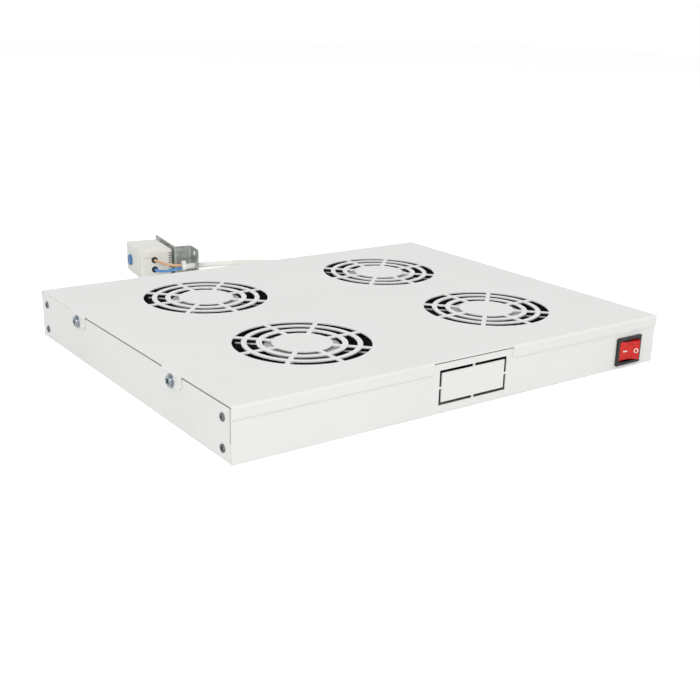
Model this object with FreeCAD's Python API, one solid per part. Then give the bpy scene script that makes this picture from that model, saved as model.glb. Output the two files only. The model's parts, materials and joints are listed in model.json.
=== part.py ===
import FreeCAD, Part
import math
import os

from FreeCAD import Placement, Rotation, Vector

# One-unit rack fan tray: a folded sheet-steel case with four 120 mm axial fans, a mains
# switch, an inlet, a knock-out for a controller, and a thermostat on a cable behind it.
# Millimetres. +X right along the front, +Y to the rear, +Z up.
# The origin is the middle of the underside.

# ---- case ---------------------------------------------------------------------------
tray_width = 440.0
tray_depth = 354.0
tray_height = 43.6          # one rack unit less the usual slack
sheet = 1.0                 # steel sheet thickness
bend_inside = 1.0           # inside radius of a fold
wall_end_gap = 0.4          # a side wall's end to the end panel
seam = 0.3                  # gap at a sheet edge beside another sheet
wall_flange = 9.0           # inward fold along the top of each side wall
panel_top_gap = 1.3         # open line between the cover and the end panels

# ---- cover --------------------------------------------------------------------------
cover_fit = 0.15            # play between the cover's folds and the case walls
front_lip = 9.9             # height of the fold over the front panel
rear_lip = 8.0
lip_notch = 84.0            # gap in the front lip over the knock-out
tab_width = 31.0            # side tabs that take the cover screws
tab_drop = 12.0
tab_chamfer = 3.0
tab_inset = 87.5            # from the end face to a tab's middle
tab_height_offset = 8.3     # screw line below the cover's top face

# ---- fans ---------------------------------------------------------------------------
fan_size = 119.6
fan_height = 38.0
fan_side_gap = 60.2         # fan frame to the side wall's face
fan_end_distance = 96.0     # fan axis to the end panel's face
fan_hole_inset = 7.3        # a fixing hole's axis to the frame's sides
fan_hole_radius = 2.2
fan_corner = 5.0
fan_flange = 5.0
duct_edge = 2.5             # frame outside the duct at the middle of a side
duct_wall = 1.8
hub_radius = 31.5           # motor plate in the middle of the frame
hub_plate = 4.0
hub_recess = 0.3            # motor plate below the frame's top face
strut_width = 6.0
strut_height = 4.5
label_radius = 30.0
label_thickness = 0.2
blade_count = 5
blade_tip_gap = 1.0
blade_thickness = 1.8
blade_root_pitch = 52.0     # blade angle to the fan's face at the hub
blade_tip_pitch = 30.0
blade_root_chord = 26.0
blade_tip_chord = 38.0
blade_camber = 0.09         # height of the curved section over its chord
impeller_radius = 31.0
impeller_wall = 4.2         # plastic cup with the rotor ring moulded in
impeller_height = 30.0
impeller_floor = 3.0
impeller_bottom_gap = 2.5   # above the fan's lower face
shaft_radius = 2.0
shaft_play = 0.05
shaft_boss_radius = 5.0
shaft_boss_height = 4.0
shaft_length = 26.0
bearing_tube_radius = 6.0
bearing_radius = 4.5
bearing_height = 4.0
stator_radius = 24.0
stator_height = 9.0
winding_radius = 20.0
winding_height = 4.0
stator_plate_gap = 1.0      # above the windings, under the motor plate

# ---- punched grilles ----------------------------------------------------------------
ring_outer = (56.8, 44.8, 32.5)
ring_slot = 7.6
spoke_width = 3.9
spoke_count = 8

# ---- fan and earth fixings ----------------------------------------------------------
screw_radius = 2.0
screw_across = 7.0
screw_head_height = 2.8
nut_height = 3.2

# ---- corner brackets and screws -----------------------------------------------------
corner_sheet = 1.5
corner_leg = 20.0            # along the side wall
corner_foot = 13.0           # along the end panel
corner_bottom = 3.0
corner_top = 39.0
corner_screw_inset = 12.0   # from the case's end face
corner_screw_low = 9.0
corner_screw_high = 32.2
m4_radius = 2.0
m4_hole = 2.25
m4_head_radius = 3.3
m4_head_height = 0.9
m5_radius = 2.5
m5_hole = 2.75
m5_head_radius = 4.2
m5_head_height = 2.4
m5_washer_radius = 5.6
m5_washer_height = 0.8
press_nut_radius = 4.1
press_nut_height = 3.0
thread_play = 0.05

# ---- knock-out in the front panel ---------------------------------------------------
knockout_width = 71.0
knockout_height = 29.0
knockout_slot = 2.5
knockout_tie = 1.7
knockout_z = 21.4

# ---- mains switch -------------------------------------------------------------------
switch_inset = 34.8         # from the side wall's face
switch_z = 16.0
bezel_width = 31.3
bezel_height = 25.6
bezel_depth = 2.0
bezel_corner = 1.5
switch_body_width = 27.8
switch_body_height = 21.8
switch_body_depth = 20.0
cutout_play = 0.2
rocker_half_width = 12.0
rocker_height = 18.4
rocker_pivot_depth = 2.6
rocker_throw = 24.0         # turn from I pressed to O pressed
rocker_play = 0.35
rocker_pin_radius = 1.5
rocker_pin_length = 0.9
switch_tab_width = 6.3
tab_thickness = 0.8
switch_tab_length = 8.0
switch_tab_spacing_x = 12.0
switch_tab_spacing_z = 11.0

# ---- appliance inlet ----------------------------------------------------------------
inlet_inset = 40.0
inlet_z = 20.4
inlet_flange_width = 50.0
inlet_flange_height = 23.0
inlet_flange = 3.0
inlet_body_width = 27.4
inlet_body_height = 19.6
inlet_body_depth = 20.0
inlet_cavity_width = 24.4
inlet_cavity_height = 16.4
inlet_cavity_depth = 17.5
inlet_corner = 5.0          # cut-off lower corners of the socket
inlet_pin_width = 2.0
inlet_pin_height = 4.0
inlet_pin_length = 15.5
inlet_pin_spacing = 14.0
inlet_earth_rise = 4.0
inlet_tab_length = 7.5
inlet_screw_spacing = 40.0
m3_radius = 1.5
m3_hole = 1.7
m3_head_radius = 2.8
m3_head_height = 1.6
m3_nut_across = 5.5
m3_nut_height = 2.4

# ---- cable gland --------------------------------------------------------------------
gland_inset = 81.0
gland_z = 14.0
gland_thread_radius = 6.0
gland_across = 15.0
gland_flange = 6.0
gland_cap_radius = 7.2
gland_cap_length = 13.0
gland_cap_round = 3.2
gland_locknut_height = 3.5
gland_thread_length = 8.0
cable_play = 0.2

# ---- terminal block and earth stud --------------------------------------------------
block_inset = 34.0
block_y = 12.0
block_width = 20.0
block_height = 15.0
block_ways = 4
block_pitch = 11.0
block_way_radius = 2.9
block_way_height = 7.0
earth_inset = 42.0
earth_end = 59.0            # from the rear panel's face
earth_stud_height = 13.0
lug_radius = 4.4
lug_thickness = 0.8

# ---- wiring -------------------------------------------------------------------------
fan_lead_diameter = 4.0
mains_lead_diameter = 5.0
inner_lead_diameter = 5.0
earth_lead_diameter = 2.8
cable_diameter = 6.2
wire_diameter = 3.0
boot_wall = 1.6             # moulded cover round blade terminals
fan_tab_length = 7.0
fan_tab_width = 3.0
fan_tab_spacing = 10.0
fan_tab_height = 17.0       # above the fan's lower face
fan_tab_offset = 6.0        # towards the middle of the tray
fan_tab_boss = 24.0
lead_reach = 12.2           # from a fan's frame to where its lead leaves the boot

# ---- thermostat, lying behind the tray, turned a little -----------------------------
thermostat_x = -52.5        # its near lower corner on the dial side
thermostat_y = 323.0
thermostat_turn = -8.5
thermostat_length = 60.0
thermostat_height = 33.0
case_depth = 31.3
rear_shell_depth = 4.2
foot_depth = 3.0
foot_inset_y = 8.0
foot_inset_z = 5.0
case_round = 1.8
dial_radius = 6.0
dial_height = 2.4
dial_y = 43.0
dial_z = 14.5
dial_slot = 1.2
dial_slot_depth = 1.2
dial_gap = 0.3
spindle_radius = 2.0
spindle_length = 6.0
entry_depth = 8.0
entry_radius = 2.7
entry_rim = 0.8
entry_x = 15.5
entry_spacing = 11.0
latch_slot_z = 24.3
latch_slot_length = 13.5
latch_slot_width = 1.1
latch_slot_depth = 0.9
vent_count = 10
vent_pitch = 2.7
vent_width = 1.4
vent_depth = 2.2

# ---- thermostat bracket -------------------------------------------------------------
bracket_sheet = 1.5
bracket_bend = 1.5
bracket_height = 36.0
bracket_back_length = 71.0
bracket_web = 19.0
bracket_front_length = 24.5
bracket_corner = 2.0
bracket_overhang = 1.4      # web in front of the thermostat's near face
bracket_hole_radius = 3.4
bracket_hole_z = 30.0
cable_hole_radius = 4.0
cable_z = 15.2
bracket_hole_offset = 13.0
bracket_screw_spacing = 30.0

# ---- cable tie ----------------------------------------------------------------------
tie_width = 3.6
tie_thickness = 1.1
tie_play = 0.1
tie_head = 4.6
tie_head_height = 2.8
sheath_start = 42.5         # along the thermostat's depth, where the two wires enter
tie_start = 43.4

X_AXIS = Vector(1, 0, 0)
Y_AXIS = Vector(0, 1, 0)
Z_AXIS = Vector(0, 0, 1)

# Levels and faces that several pieces share.
half_width = tray_width / 2
half_depth = tray_depth / 2
switch_x = half_width - switch_inset
inlet_x = half_width - inlet_inset
gland_x = half_width - gland_inset
block_x = half_width - block_inset
earth_x = half_width - earth_inset
earth_y = half_depth - earth_end
duct_radius = fan_size / 2 - duct_edge
fan_inner = half_depth - fan_end_distance - fan_size / 2    # frames to the middle line
wall_inner = half_width - sheet
panel_inner = half_depth - sheet
cover_under = tray_height - sheet
panel_top = cover_under - panel_top_gap
floor_top = sheet
fan_top = floor_top + fan_height
bearing_gap = shaft_radius + shaft_play

FAN_NAMES = ("front_left", "rear_left", "front_right", "rear_right")
FAN_SIGNS = ((-1, -1), (-1, 1), (1, -1), (1, 1))
FAN_PLACES = [(sx * (half_width - fan_side_gap - fan_size / 2), sy * (half_depth - fan_end_distance))
              for sx, sy in FAN_SIGNS]

parts = {}


# ---- modelling helpers --------------------------------------------------------------
def block(x0, y0, z0, x1, y1, z1):
    """A box between two corners."""
    return Part.makeBox(x1 - x0, y1 - y0, z1 - z0, Vector(x0, y0, z0))


def centred(width, depth, height, centre):
    """A box about a centre."""
    cx, cy, cz = centre
    return block(cx - width / 2, cy - depth / 2, cz - height / 2,
                 cx + width / 2, cy + depth / 2, cz + height / 2)


def rod(radius, start, direction, length):
    """A round bar from a point, along a direction."""
    return Part.makeCylinder(radius, length, Vector(*start), direction)


def moved(shape, x=0.0, y=0.0, z=0.0):
    """A copy shifted by a vector."""
    copy = shape.copy()
    copy.translate(Vector(x, y, z))
    return copy


def turned(shape, angle, axis=Z_AXIS, about=(0, 0, 0)):
    """A copy turned about a line."""
    copy = shape.copy()
    copy.rotate(Vector(*about), axis, angle)
    return copy


def join(first, *others):
    """One solid from overlapping or touching solids."""
    return first.fuse(list(others)).removeSplitter()


def one(shape):
    """The single solid of a boolean result."""
    solids = shape.Solids
    if len(solids) != 1:
        raise ValueError("expected one solid, got %d" % len(solids))
    return solids[0]


def round_edges(shape, radius, chosen):
    """Fillet the edges that a test picks out."""
    edges = [edge for edge in shape.Edges if chosen(edge)]
    return shape.makeFillet(radius, edges)


def along(edge, axis):
    """Whether a straight edge runs along an axis."""
    if not isinstance(edge.Curve, Part.Line):
        return False
    return abs(edge.tangentAt(edge.FirstParameter).dot(axis)) > 0.999


def rounded_plate(width, depth, height, corner, base):
    """An upright plate with rounded vertical corners, standing on a base point."""
    x, y, z = base
    plate = block(x - width / 2, y - depth / 2, z, x + width / 2, y + depth / 2, z + height)
    return round_edges(plate, corner, lambda edge: along(edge, Z_AXIS))


def hexagon(across, height, centre, axis):
    """A hexagonal prism standing on a centre point, along an axis."""
    radius = across / math.sqrt(3)
    angles = [math.radians(60 * i) for i in range(6)]
    corners = [Vector(radius * math.cos(a), radius * math.sin(a), 0) for a in angles]
    prism = Part.Face(Part.makePolygon(corners + corners[:1])).extrude(Z_AXIS * height)
    prism.Placement = Placement(Vector(*centre), Rotation(Z_AXIS, axis))
    return prism


def folded(points, thickness, inside, to_space, extrusion):
    """Sheet folded along a centre line of 2-D points, pushed along a vector."""
    radius = inside + thickness / 2
    line = [Vector(u, v, 0) for u, v in points]
    runs = [(b - a).normalize() for a, b in zip(line, line[1:])]

    def side(sign):
        edges = []
        here = line[0] + Vector(-runs[0].y, runs[0].x, 0) * sign * thickness / 2
        for corner, before, after in zip(line[1:], runs, runs[1:]):
            normal_in = Vector(-before.y, before.x, 0)
            normal_out = Vector(-after.y, after.x, 0)
            turn = math.copysign(1, before.cross(after).z)
            back = radius * math.tan(before.getAngle(after) / 2)
            centre = corner - before * back + normal_in * turn * radius
            arm = -turn * radius + sign * thickness / 2
            start = centre + normal_in * arm
            end = centre + normal_out * arm
            middle = centre + (normal_in + normal_out).normalize() * arm
            edges.append(("line", here, start))
            edges.append(("arc", start, middle, end))
            here = end
        last = line[-1] + Vector(-runs[-1].y, runs[-1].x, 0) * sign * thickness / 2
        edges.append(("line", here, last))
        return edges

    def space(p):
        return to_space(p.x, p.y)

    left = side(1)
    right = side(-1)
    edges = []
    for kind, *ends in left + right:
        ends = [space(p) for p in ends]
        if kind == "line":
            edges.append(Part.LineSegment(*ends).toShape())
        else:
            edges.append(Part.Arc(*ends).toShape())
    edges.append(Part.LineSegment(space(left[0][1]), space(right[0][1])).toShape())
    edges.append(Part.LineSegment(space(left[-1][-1]), space(right[-1][-1])).toShape())
    outline = Part.Wire(Part.__sortEdges__(edges))
    return Part.Face(outline).extrude(extrusion)


def pan_screw(head_radius, head_height, radius, length, washer=None):
    """A pan-head screw along -Z, its head standing on z = 0."""
    straight = head_height * 0.45
    head = rod(head_radius, (0, 0, 0), Z_AXIS, straight)
    crown = Part.makeCone(head_radius, head_radius * 0.72, head_height - straight,
                          Vector(0, 0, straight))
    shank = rod(radius, (0, 0, -length), Z_AXIS, length)
    screw = join(head, crown, shank)
    if washer:
        flange = rod(washer[0], (0, 0, 0), Z_AXIS, washer[1])
        screw = join(moved(screw, z=washer[1]), flange)
    return one(screw)


def point_along(shape, place, axis):
    """Stand a shape made along +Z at a place, along another axis."""
    copy = shape.copy()
    copy.Placement = Placement(Vector(*place), Rotation(Z_AXIS, axis))
    return copy


def tube(name, points, diameter):
    """A round cable through straight runs joined by tangent arcs."""
    line = [Vector(*p) for p in points]
    edges = []
    radii = []
    here = line[0]
    for before, corner, after in zip(line, line[1:], line[2:]):
        run_in = corner - before
        run_out = after - corner
        back = 0.45 * min(run_in.Length, run_out.Length)
        half_turn = run_in.getAngle(run_out) / 2
        radii.append(back / math.tan(half_turn))
        unit_in = Vector(run_in).normalize()
        unit_out = Vector(run_out).normalize()
        start = corner - unit_in * back
        end = corner + unit_out * back
        towards = (unit_out - unit_in).normalize()
        sagitta = radii[-1] / math.cos(half_turn) - radii[-1]
        middle = corner + towards * sagitta
        edges.append(Part.LineSegment(here, start).toShape())
        edges.append(Part.Arc(start, middle, end).toShape())
        here = end
    edges.append(Part.LineSegment(here, line[-1]).toShape())
    spine = Part.Wire(edges)
    ring = Part.Wire(Part.makeCircle(diameter / 2, line[0], line[1] - line[0]))
    swept = one(spine.makePipe(Part.Face(ring)))
    ideal = math.pi * diameter ** 2 / 4 * spine.Length
    print("%s: length %.1f, tightest radius %.1f, volume ratio %.4f"
          % (name, spine.Length, min(radii), swept.Volume / ideal))
    return swept


# ---- grille pattern -----------------------------------------------------------------
def grille(z_low, z_high):
    """Cutters for the arc slots of the four fan grilles, through one sheet."""
    rings = []
    for outer in ring_outer:
        ring = Part.makeCylinder(outer, z_high - z_low, Vector(0, 0, z_low))
        rings.append(ring.cut(Part.makeCylinder(outer - ring_slot, z_high - z_low,
                                                Vector(0, 0, z_low))))
    reach = ring_outer[0] + 2
    bars = []
    for i in range(spoke_count // 2):
        bar = block(-reach, -spoke_width / 2, z_low, reach, spoke_width / 2, z_high)
        bars.append(turned(bar, 360 / spoke_count * i))
    slots = Part.makeCompound(rings).cut(bars)
    return [moved(slots, x, y) for x, y in FAN_PLACES]


# ---- base pan: floor, side walls and the folds along their tops -----------------------
def base_pan():
    wall = half_width - sheet / 2
    top = cover_under - seam - sheet / 2
    points = [(-wall + wall_flange, top), (-wall, top), (-wall, sheet / 2),
              (wall, sheet / 2), (wall, top), (wall - wall_flange, top)]
    length = 2 * panel_inner
    pan = folded(points, sheet, bend_inside,
                 lambda u, v: Vector(u, -panel_inner, v), Y_AXIS * length)
    cuts = grille(-1, sheet + 1)
    cuts.extend(rod(screw_radius, (x, y, -1), Z_AXIS, sheet + 2) for x, y in fan_screw_places())
    for side in (-1, 1):
        for y, z in corner_screw_places():
            cuts.append(rod(m4_hole, (side * wall_inner - side, y, z),
                            X_AXIS * side, sheet + 2))
        for y, z in cover_screw_places():
            cuts.append(rod(m5_hole, (side * wall_inner - side, y, z),
                            X_AXIS * side, sheet + 2))
    for place in block_screw_places():
        cuts.append(rod(m3_radius, (place[0], place[1], -1), Z_AXIS, sheet + 2))
    cuts.append(rod(screw_radius, (earth_x, earth_y, -1), Z_AXIS, sheet + 2))
    for end in (-1, 1):
        middle = end * (panel_inner - wall_end_gap / 2)
        cuts.append(centred(tray_width + 2, wall_end_gap, tray_height,
                            (0, middle, tray_height / 2 + sheet + bend_inside)))
    return one(pan.cut(cuts))


def fan_screw_places():
    """Four fixing screws for each fan."""
    offset = fan_size / 2 - fan_hole_inset
    return [(x + sx * offset, y + sy * offset) for x, y in FAN_PLACES for sx, sy in FAN_SIGNS]


def corner_screw_places():
    """Side-view places of the screws near both ends of a side wall."""
    y = half_depth - corner_screw_inset
    return [(s * y, z) for s in (-1, 1) for z in (corner_screw_low, corner_screw_high)]


def cover_screw_places():
    """Side-view places of the cover's tab screws."""
    return [(s * (half_depth - tab_inset), tray_height - tab_height_offset) for s in (-1, 1)]


def block_screw_places():
    """Fixing screws of the terminal block, between its ways."""
    return [(block_x - block_pitch, block_y), (block_x + block_pitch, block_y)]


# ---- top cover: flat top, lips over both panels, four screw tabs ----------------------
def top_cover():
    lip = half_depth + cover_fit + sheet / 2
    top = tray_height - sheet / 2
    points = [(-lip, tray_height - front_lip), (-lip, top),
              (lip, top), (lip, tray_height - rear_lip)]
    cover = folded(points, sheet, bend_inside,
                   lambda u, v: Vector(-half_width, u, v), X_AXIS * tray_width)
    tab_face = half_width + cover_fit
    tabs = []
    for side in (-1, 1):
        profile = [(side * (half_width - 6), top), (side * (tab_face + sheet / 2), top),
                   (side * (tab_face + sheet / 2), tray_height - tab_drop)]
        for y, _ in cover_screw_places():
            tab = folded(profile, sheet, bend_inside,
                         lambda u, v: Vector(u, y - tab_width / 2, v), Y_AXIS * tab_width)
            corners = [edge for edge in tab.Edges if along(edge, X_AXIS)
                       and edge.BoundBox.ZMax < tray_height - tab_drop + 0.01]
            tabs.append(tab.makeChamfer(tab_chamfer, corners))
    cover = join(cover, *tabs)
    cuts = grille(cover_under - 1, tray_height + 1)
    cuts.append(block(-lip_notch / 2, -lip - 5, tray_height - front_lip - 1,
                      lip_notch / 2, -half_depth, tray_height + 1))
    for side in (-1, 1):
        for y, z in cover_screw_places():
            cuts.append(rod(m5_hole, (side * (tab_face - 1), y, z), X_AXIS * side, sheet + 2))
    return one(cover.cut(cuts))


# ---- end panels -----------------------------------------------------------------------
def front_panel():
    panel = block(-half_width, -half_depth, 0, half_width, -panel_inner, panel_top)
    outer = centred(knockout_width, sheet * 4, knockout_height, (0, -half_depth, knockout_z))
    slot = 2 * knockout_slot
    island = centred(knockout_width - slot, sheet * 6, knockout_height - slot,
                     (0, -half_depth, knockout_z))
    tie_z = centred(knockout_tie, sheet * 6, knockout_height + 2, (0, -half_depth, knockout_z))
    tie_x = centred(knockout_width + 2, sheet * 6, knockout_tie, (0, -half_depth, knockout_z))
    slots = outer.cut([island, tie_z, tie_x])
    window = centred(switch_body_width + 2 * cutout_play, sheet * 4,
                     switch_body_height + 2 * cutout_play, (switch_x, -half_depth, switch_z))
    return one(panel.cut([slots, window]))


def rear_panel():
    panel = block(-half_width, panel_inner, 0, half_width, half_depth, panel_top)
    cuts = [centred(inlet_body_width + 2 * cutout_play, sheet * 4,
                    inlet_body_height + 2 * cutout_play, (inlet_x, half_depth, inlet_z))]
    for side in (-1, 1):
        cuts.append(rod(m3_hole, (inlet_x + side * inlet_screw_spacing / 2,
                                  panel_inner - 1, inlet_z), Y_AXIS, sheet + 2))
    cuts.append(rod(gland_thread_radius + cable_play, (gland_x, panel_inner - 1, gland_z),
                    Y_AXIS, sheet + 2))
    return one(panel.cut(cuts))


def corner_brackets():
    """Angles spot-welded behind the end panels, tapped for the side screws."""
    angles = []
    middle = corner_sheet / 2
    for sx, sy in FAN_SIGNS:
        x = wall_inner - middle
        y = panel_inner - middle
        points = [(sx * (x - corner_foot), sy * y), (sx * x, sy * y),
                  (sx * x, sy * (y - corner_leg))]
        angle = folded(points, corner_sheet, bend_inside,
                       lambda u, v: Vector(u, v, corner_bottom),
                       Z_AXIS * (corner_top - corner_bottom))
        screw_y = sy * (half_depth - corner_screw_inset)
        taps = [rod(m4_radius + thread_play, (sx * (wall_inner - 5), screw_y, z), X_AXIS * sx, 8)
                for z in (corner_screw_low, corner_screw_high)]
        angles.append(one(angle.cut(taps)))
    return angles


def panel_screws():
    screw = pan_screw(m4_head_radius, m4_head_height, m4_radius, 7.0)
    return [point_along(screw, (side * half_width, y, z), X_AXIS * side)
            for side in (-1, 1) for y, z in corner_screw_places()]


def cover_screws():
    screw = pan_screw(m5_head_radius, m5_head_height, m5_radius, 7.5,
                      washer=(m5_washer_radius, m5_washer_height))
    face = half_width + cover_fit + sheet
    return [point_along(screw, (side * face, y, z), X_AXIS * side)
            for side in (-1, 1) for y, z in cover_screw_places()]


def cover_nuts():
    """Round press nuts inside the side walls."""
    nuts = []
    for side in (-1, 1):
        for y, z in cover_screw_places():
            nut = rod(press_nut_radius, (side * (wall_inner - press_nut_height), y, z),
                      X_AXIS * side, press_nut_height)
            tap = rod(m5_radius + thread_play, (side * (wall_inner - press_nut_height - 1), y, z),
                      X_AXIS * side, press_nut_height + 2)
            nuts.append(one(nut.cut(tap)))
    return nuts


# ---- fan --------------------------------------------------------------------------------
def fan_frame():
    """Cast frame about the Z axis, standing on the floor of the pan."""
    z0 = floor_top
    lower = rounded_plate(fan_size, fan_size, fan_flange, fan_corner, (0, 0, z0))
    upper = moved(lower, 0, 0, fan_height - fan_flange)
    barrel = rod(duct_radius + duct_wall, (0, 0, z0), Z_AXIS, fan_height)
    bore = rod(duct_radius, (0, 0, z0 - 1), Z_AXIS, fan_height + 2)
    shell = join(lower, upper, barrel).cut(bore)
    plate_top = fan_top - hub_recess
    hub = rod(hub_radius, (0, 0, plate_top - hub_plate), Z_AXIS, hub_plate)
    struts = []
    for i in range(4):
        strut = block(hub_radius - 3, -strut_width / 2, plate_top - strut_height,
                      duct_radius + duct_wall / 2, strut_width / 2, plate_top)
        struts.append(turned(strut, 45 + 90 * i))
    tube_length = bearing_tube_top() - bearing_tube_bottom()
    neck = rod(bearing_tube_radius, (0, 0, bearing_tube_bottom()), Z_AXIS, tube_length)
    boss = block(duct_radius + 1, -fan_tab_boss / 2, z0 + fan_tab_height - 4,
                 fan_size / 2, fan_tab_boss / 2, z0 + fan_tab_height + 4)
    frame = join(shell, hub, neck, boss, *struts)
    cuts = [rod(bearing_radius, (0, 0, bearing_tube_bottom() - 1), Z_AXIS, tube_length)]
    offset = fan_size / 2 - fan_hole_inset
    for sx, sy in FAN_SIGNS:
        cuts.append(rod(fan_hole_radius, (sx * offset, sy * offset, z0 - 1),
                        Z_AXIS, fan_height + 2))
    return one(frame.cut(cuts))


def bearing_tube_top():
    return fan_top - hub_recess - hub_plate + 0.5


def bearing_tube_bottom():
    return impeller_base() + impeller_floor + shaft_boss_height + 1.0


def impeller_base():
    return floor_top + impeller_bottom_gap


def blade():
    """One twisted, cambered blade, lofted from hub to tip along +X."""
    sections = []
    middle = impeller_base() + impeller_height / 2
    inner = impeller_radius - impeller_wall / 2
    outer = duct_radius + 2.0
    for radius, pitch, chord in ((inner, blade_root_pitch, blade_root_chord),
                                 (outer, blade_tip_pitch, blade_tip_chord)):
        half = chord / 2
        rise = blade_camber * chord
        rim = blade_thickness * 0.35
        lower = Part.Arc(Vector(radius, -half, 0), Vector(radius, 0, rise),
                         Vector(radius, half, 0)).toShape()
        upper = Part.Arc(Vector(radius, -half, rim), Vector(radius, 0, rise + blade_thickness),
                         Vector(radius, half, rim)).toShape()
        ends = [Part.LineSegment(Vector(radius, s * half, 0),
                                 Vector(radius, s * half, rim)).toShape() for s in (-1, 1)]
        wire = Part.Wire(Part.__sortEdges__([lower, upper] + ends))
        wire.translate(Vector(0, 0, -rise / 2))
        wire.rotate(Vector(0, 0, 0), X_AXIS, pitch)
        wire.translate(Vector(0, 0, middle))
        sections.append(wire)
    return Part.makeLoft(sections, True, True)


def fan_impeller():
    """Cup-shaped hub with twisted blades, open towards the motor plate."""
    z0 = impeller_base()
    cup = rod(impeller_radius, (0, 0, z0), Z_AXIS, impeller_height)
    edges = [edge for edge in cup.Edges if edge.BoundBox.ZMax < z0 + 0.01]
    cup = cup.makeFillet(2.5, edges)
    hollow = rod(impeller_radius - impeller_wall, (0, 0, z0 + impeller_floor),
                 Z_AXIS, impeller_height)
    boss = rod(shaft_boss_radius, (0, 0, z0 + impeller_floor / 2), Z_AXIS,
               impeller_floor / 2 + shaft_boss_height)
    tip = rod(duct_radius - blade_tip_gap, (0, 0, z0), Z_AXIS, impeller_height)
    blades = [turned(blade().common(tip), 360 / blade_count * i) for i in range(blade_count)]
    hub = join(cup, *blades).cut(hollow)
    hub = join(hub, boss)
    return one(hub.cut(rod(shaft_radius, (0, 0, z0 + impeller_floor / 2), Z_AXIS, 40)))


def fan_shaft():
    return rod(shaft_radius, (0, 0, impeller_base() + impeller_floor / 2), Z_AXIS, shaft_length)


def fan_bearings():
    """Two bearing rings at the ends of the bearing tube."""
    rings = []
    for z in (bearing_tube_bottom(), bearing_tube_top() - bearing_height - 1.0):
        ring = rod(bearing_radius, (0, 0, z), Z_AXIS, bearing_height)
        rings.append(one(ring.cut(rod(bearing_gap, (0, 0, z - 1), Z_AXIS, bearing_height + 2))))
    return rings


def fan_stator():
    """Lamination pack with windings above and below, round the bearing tube."""
    top = fan_top - hub_recess - hub_plate - stator_plate_gap
    pack_z = top - winding_height - stator_height
    pack = rod(stator_radius, (0, 0, pack_z), Z_AXIS, stator_height)
    coil = rod(winding_radius, (0, 0, pack_z - winding_height), Z_AXIS,
               stator_height + 2 * winding_height)
    bore = rod(bearing_tube_radius, (0, 0, pack_z - winding_height), Z_AXIS, 2 * stator_height)
    return one(join(pack, coil).cut(bore))


def fan_label():
    return rod(label_radius, (0, 0, fan_top - hub_recess), Z_AXIS, label_thickness)


def fan_screws():
    """Hexagon-head screws down through the lower flanges into the pan's tapped floor."""
    screws = []
    for x, y in fan_screw_places():
        top = floor_top + fan_flange
        head = hexagon(screw_across, screw_head_height, (x, y, top), Z_AXIS)
        screws.append(one(join(head, rod(screw_radius, (x, y, 0), Z_AXIS, top))))
    return screws


def fan_tabs(x, y, sign):
    """Two blade terminals on one fan's side, between the flanges."""
    face = x + fan_size / 2
    z = floor_top + fan_tab_height
    middle = y - sign * fan_tab_offset
    tabs = []
    for side in (-1, 1):
        centre = middle + side * fan_tab_spacing / 2
        tabs.append(block(face, centre - fan_tab_width / 2, z - tab_thickness / 2,
                          face + fan_tab_length, centre + fan_tab_width / 2,
                          z + tab_thickness / 2))
    return tabs


def fan_terminals():
    tabs = []
    for (x, y), (_, sign) in zip(FAN_PLACES, FAN_SIGNS):
        tabs.extend(fan_tabs(x, y, sign))
    return tabs


def boot(tabs, direction, reach):
    """A moulded cover round blade terminals, open at their roots."""
    box = tabs[0].BoundBox
    for tab in tabs[1:]:
        box.add(tab.BoundBox)
    low = Vector(box.XMin, box.YMin, box.ZMin) - Vector(1, 1, 1) * boot_wall
    high = Vector(box.XMax, box.YMax, box.ZMax) + Vector(1, 1, 1) * boot_wall
    grow = direction * reach
    shift = direction * (boot_wall + seam)
    low += Vector(min(grow.x, 0) + max(shift.x, 0), min(grow.y, 0) + max(shift.y, 0), 0)
    high += Vector(max(grow.x, 0) + min(shift.x, 0), max(grow.y, 0) + min(shift.y, 0), 0)
    return one(block(low.x, low.y, low.z, high.x, high.y, high.z).cut(tabs))


# ---- wiring inside the case -------------------------------------------------------------
front_face = -half_depth
rear_face = half_depth
tab_z = floor_top + fan_tab_height
way_z = floor_top + block_way_height


def inward(*points):
    """Points given by their distance inside the right-hand side wall's face."""
    return [(half_width - x, y, z) for x, y, z in points]


def way(index, y):
    """A point in one of the terminal block's wire ways."""
    return [(block_way_places()[index], y, way_z)]


def lead_start(index):
    x, y = FAN_PLACES[index]
    return [(x + fan_size / 2 + lead_reach, y - FAN_SIGNS[index][1] * fan_tab_offset, tab_z)]


def fan_lead_routes():
    """From each fan's terminals down to the floor and along it to the terminal block."""
    middle = lead_start(0)[0][0] / 3
    lane = 3.4 - fan_inner
    return (
        lead_start(0) + [(middle, -70, 14.5), (0, -48, 5), (16, lane - 1, 3.4)]
        + inward((148, lane + 1, 3.4), (96, lane - 1, 3.6), (63, lane + 2.3, 5), (51.4, -6.5, 7.4))
        + way(0, 5),
        lead_start(1) + [(middle, 71, 14.5), (0, 48, 5), (4, 12, 3.4), (34, -8, 3.4)]
        + inward((138, lane + 6.3, 3.4), (82, lane + 8.3, 3.6), (52, -10.5, 5.2), (40.5, -3, 7.6))
        + way(1, 7),
        lead_start(2) + inward((31, -70, 14.5), (25.5, -46, 6.9), (27.5, -18, 7.2)) + way(2, 5),
        lead_start(3) + inward((33, 70.5, 14.5), (28, 48, 7.4)) + way(2, 20),
    )


def mains_route():
    start = (switch_x + switch_tab_spacing_x / 2, front_face + 32, switch_z)
    path = inward((27, front_face + 54, 12), (12, front_face + 83, 5), (6.8, -48, 4.2),
                  (6.7, 10, 4.3), (6.8, rear_face - 109, 4.4), (16, rear_face - 66, 10),
                  (33, rear_face - 46, 18))
    return [start] + path + [(inlet_x + 6, rear_face - 30, inlet_z)]


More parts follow.
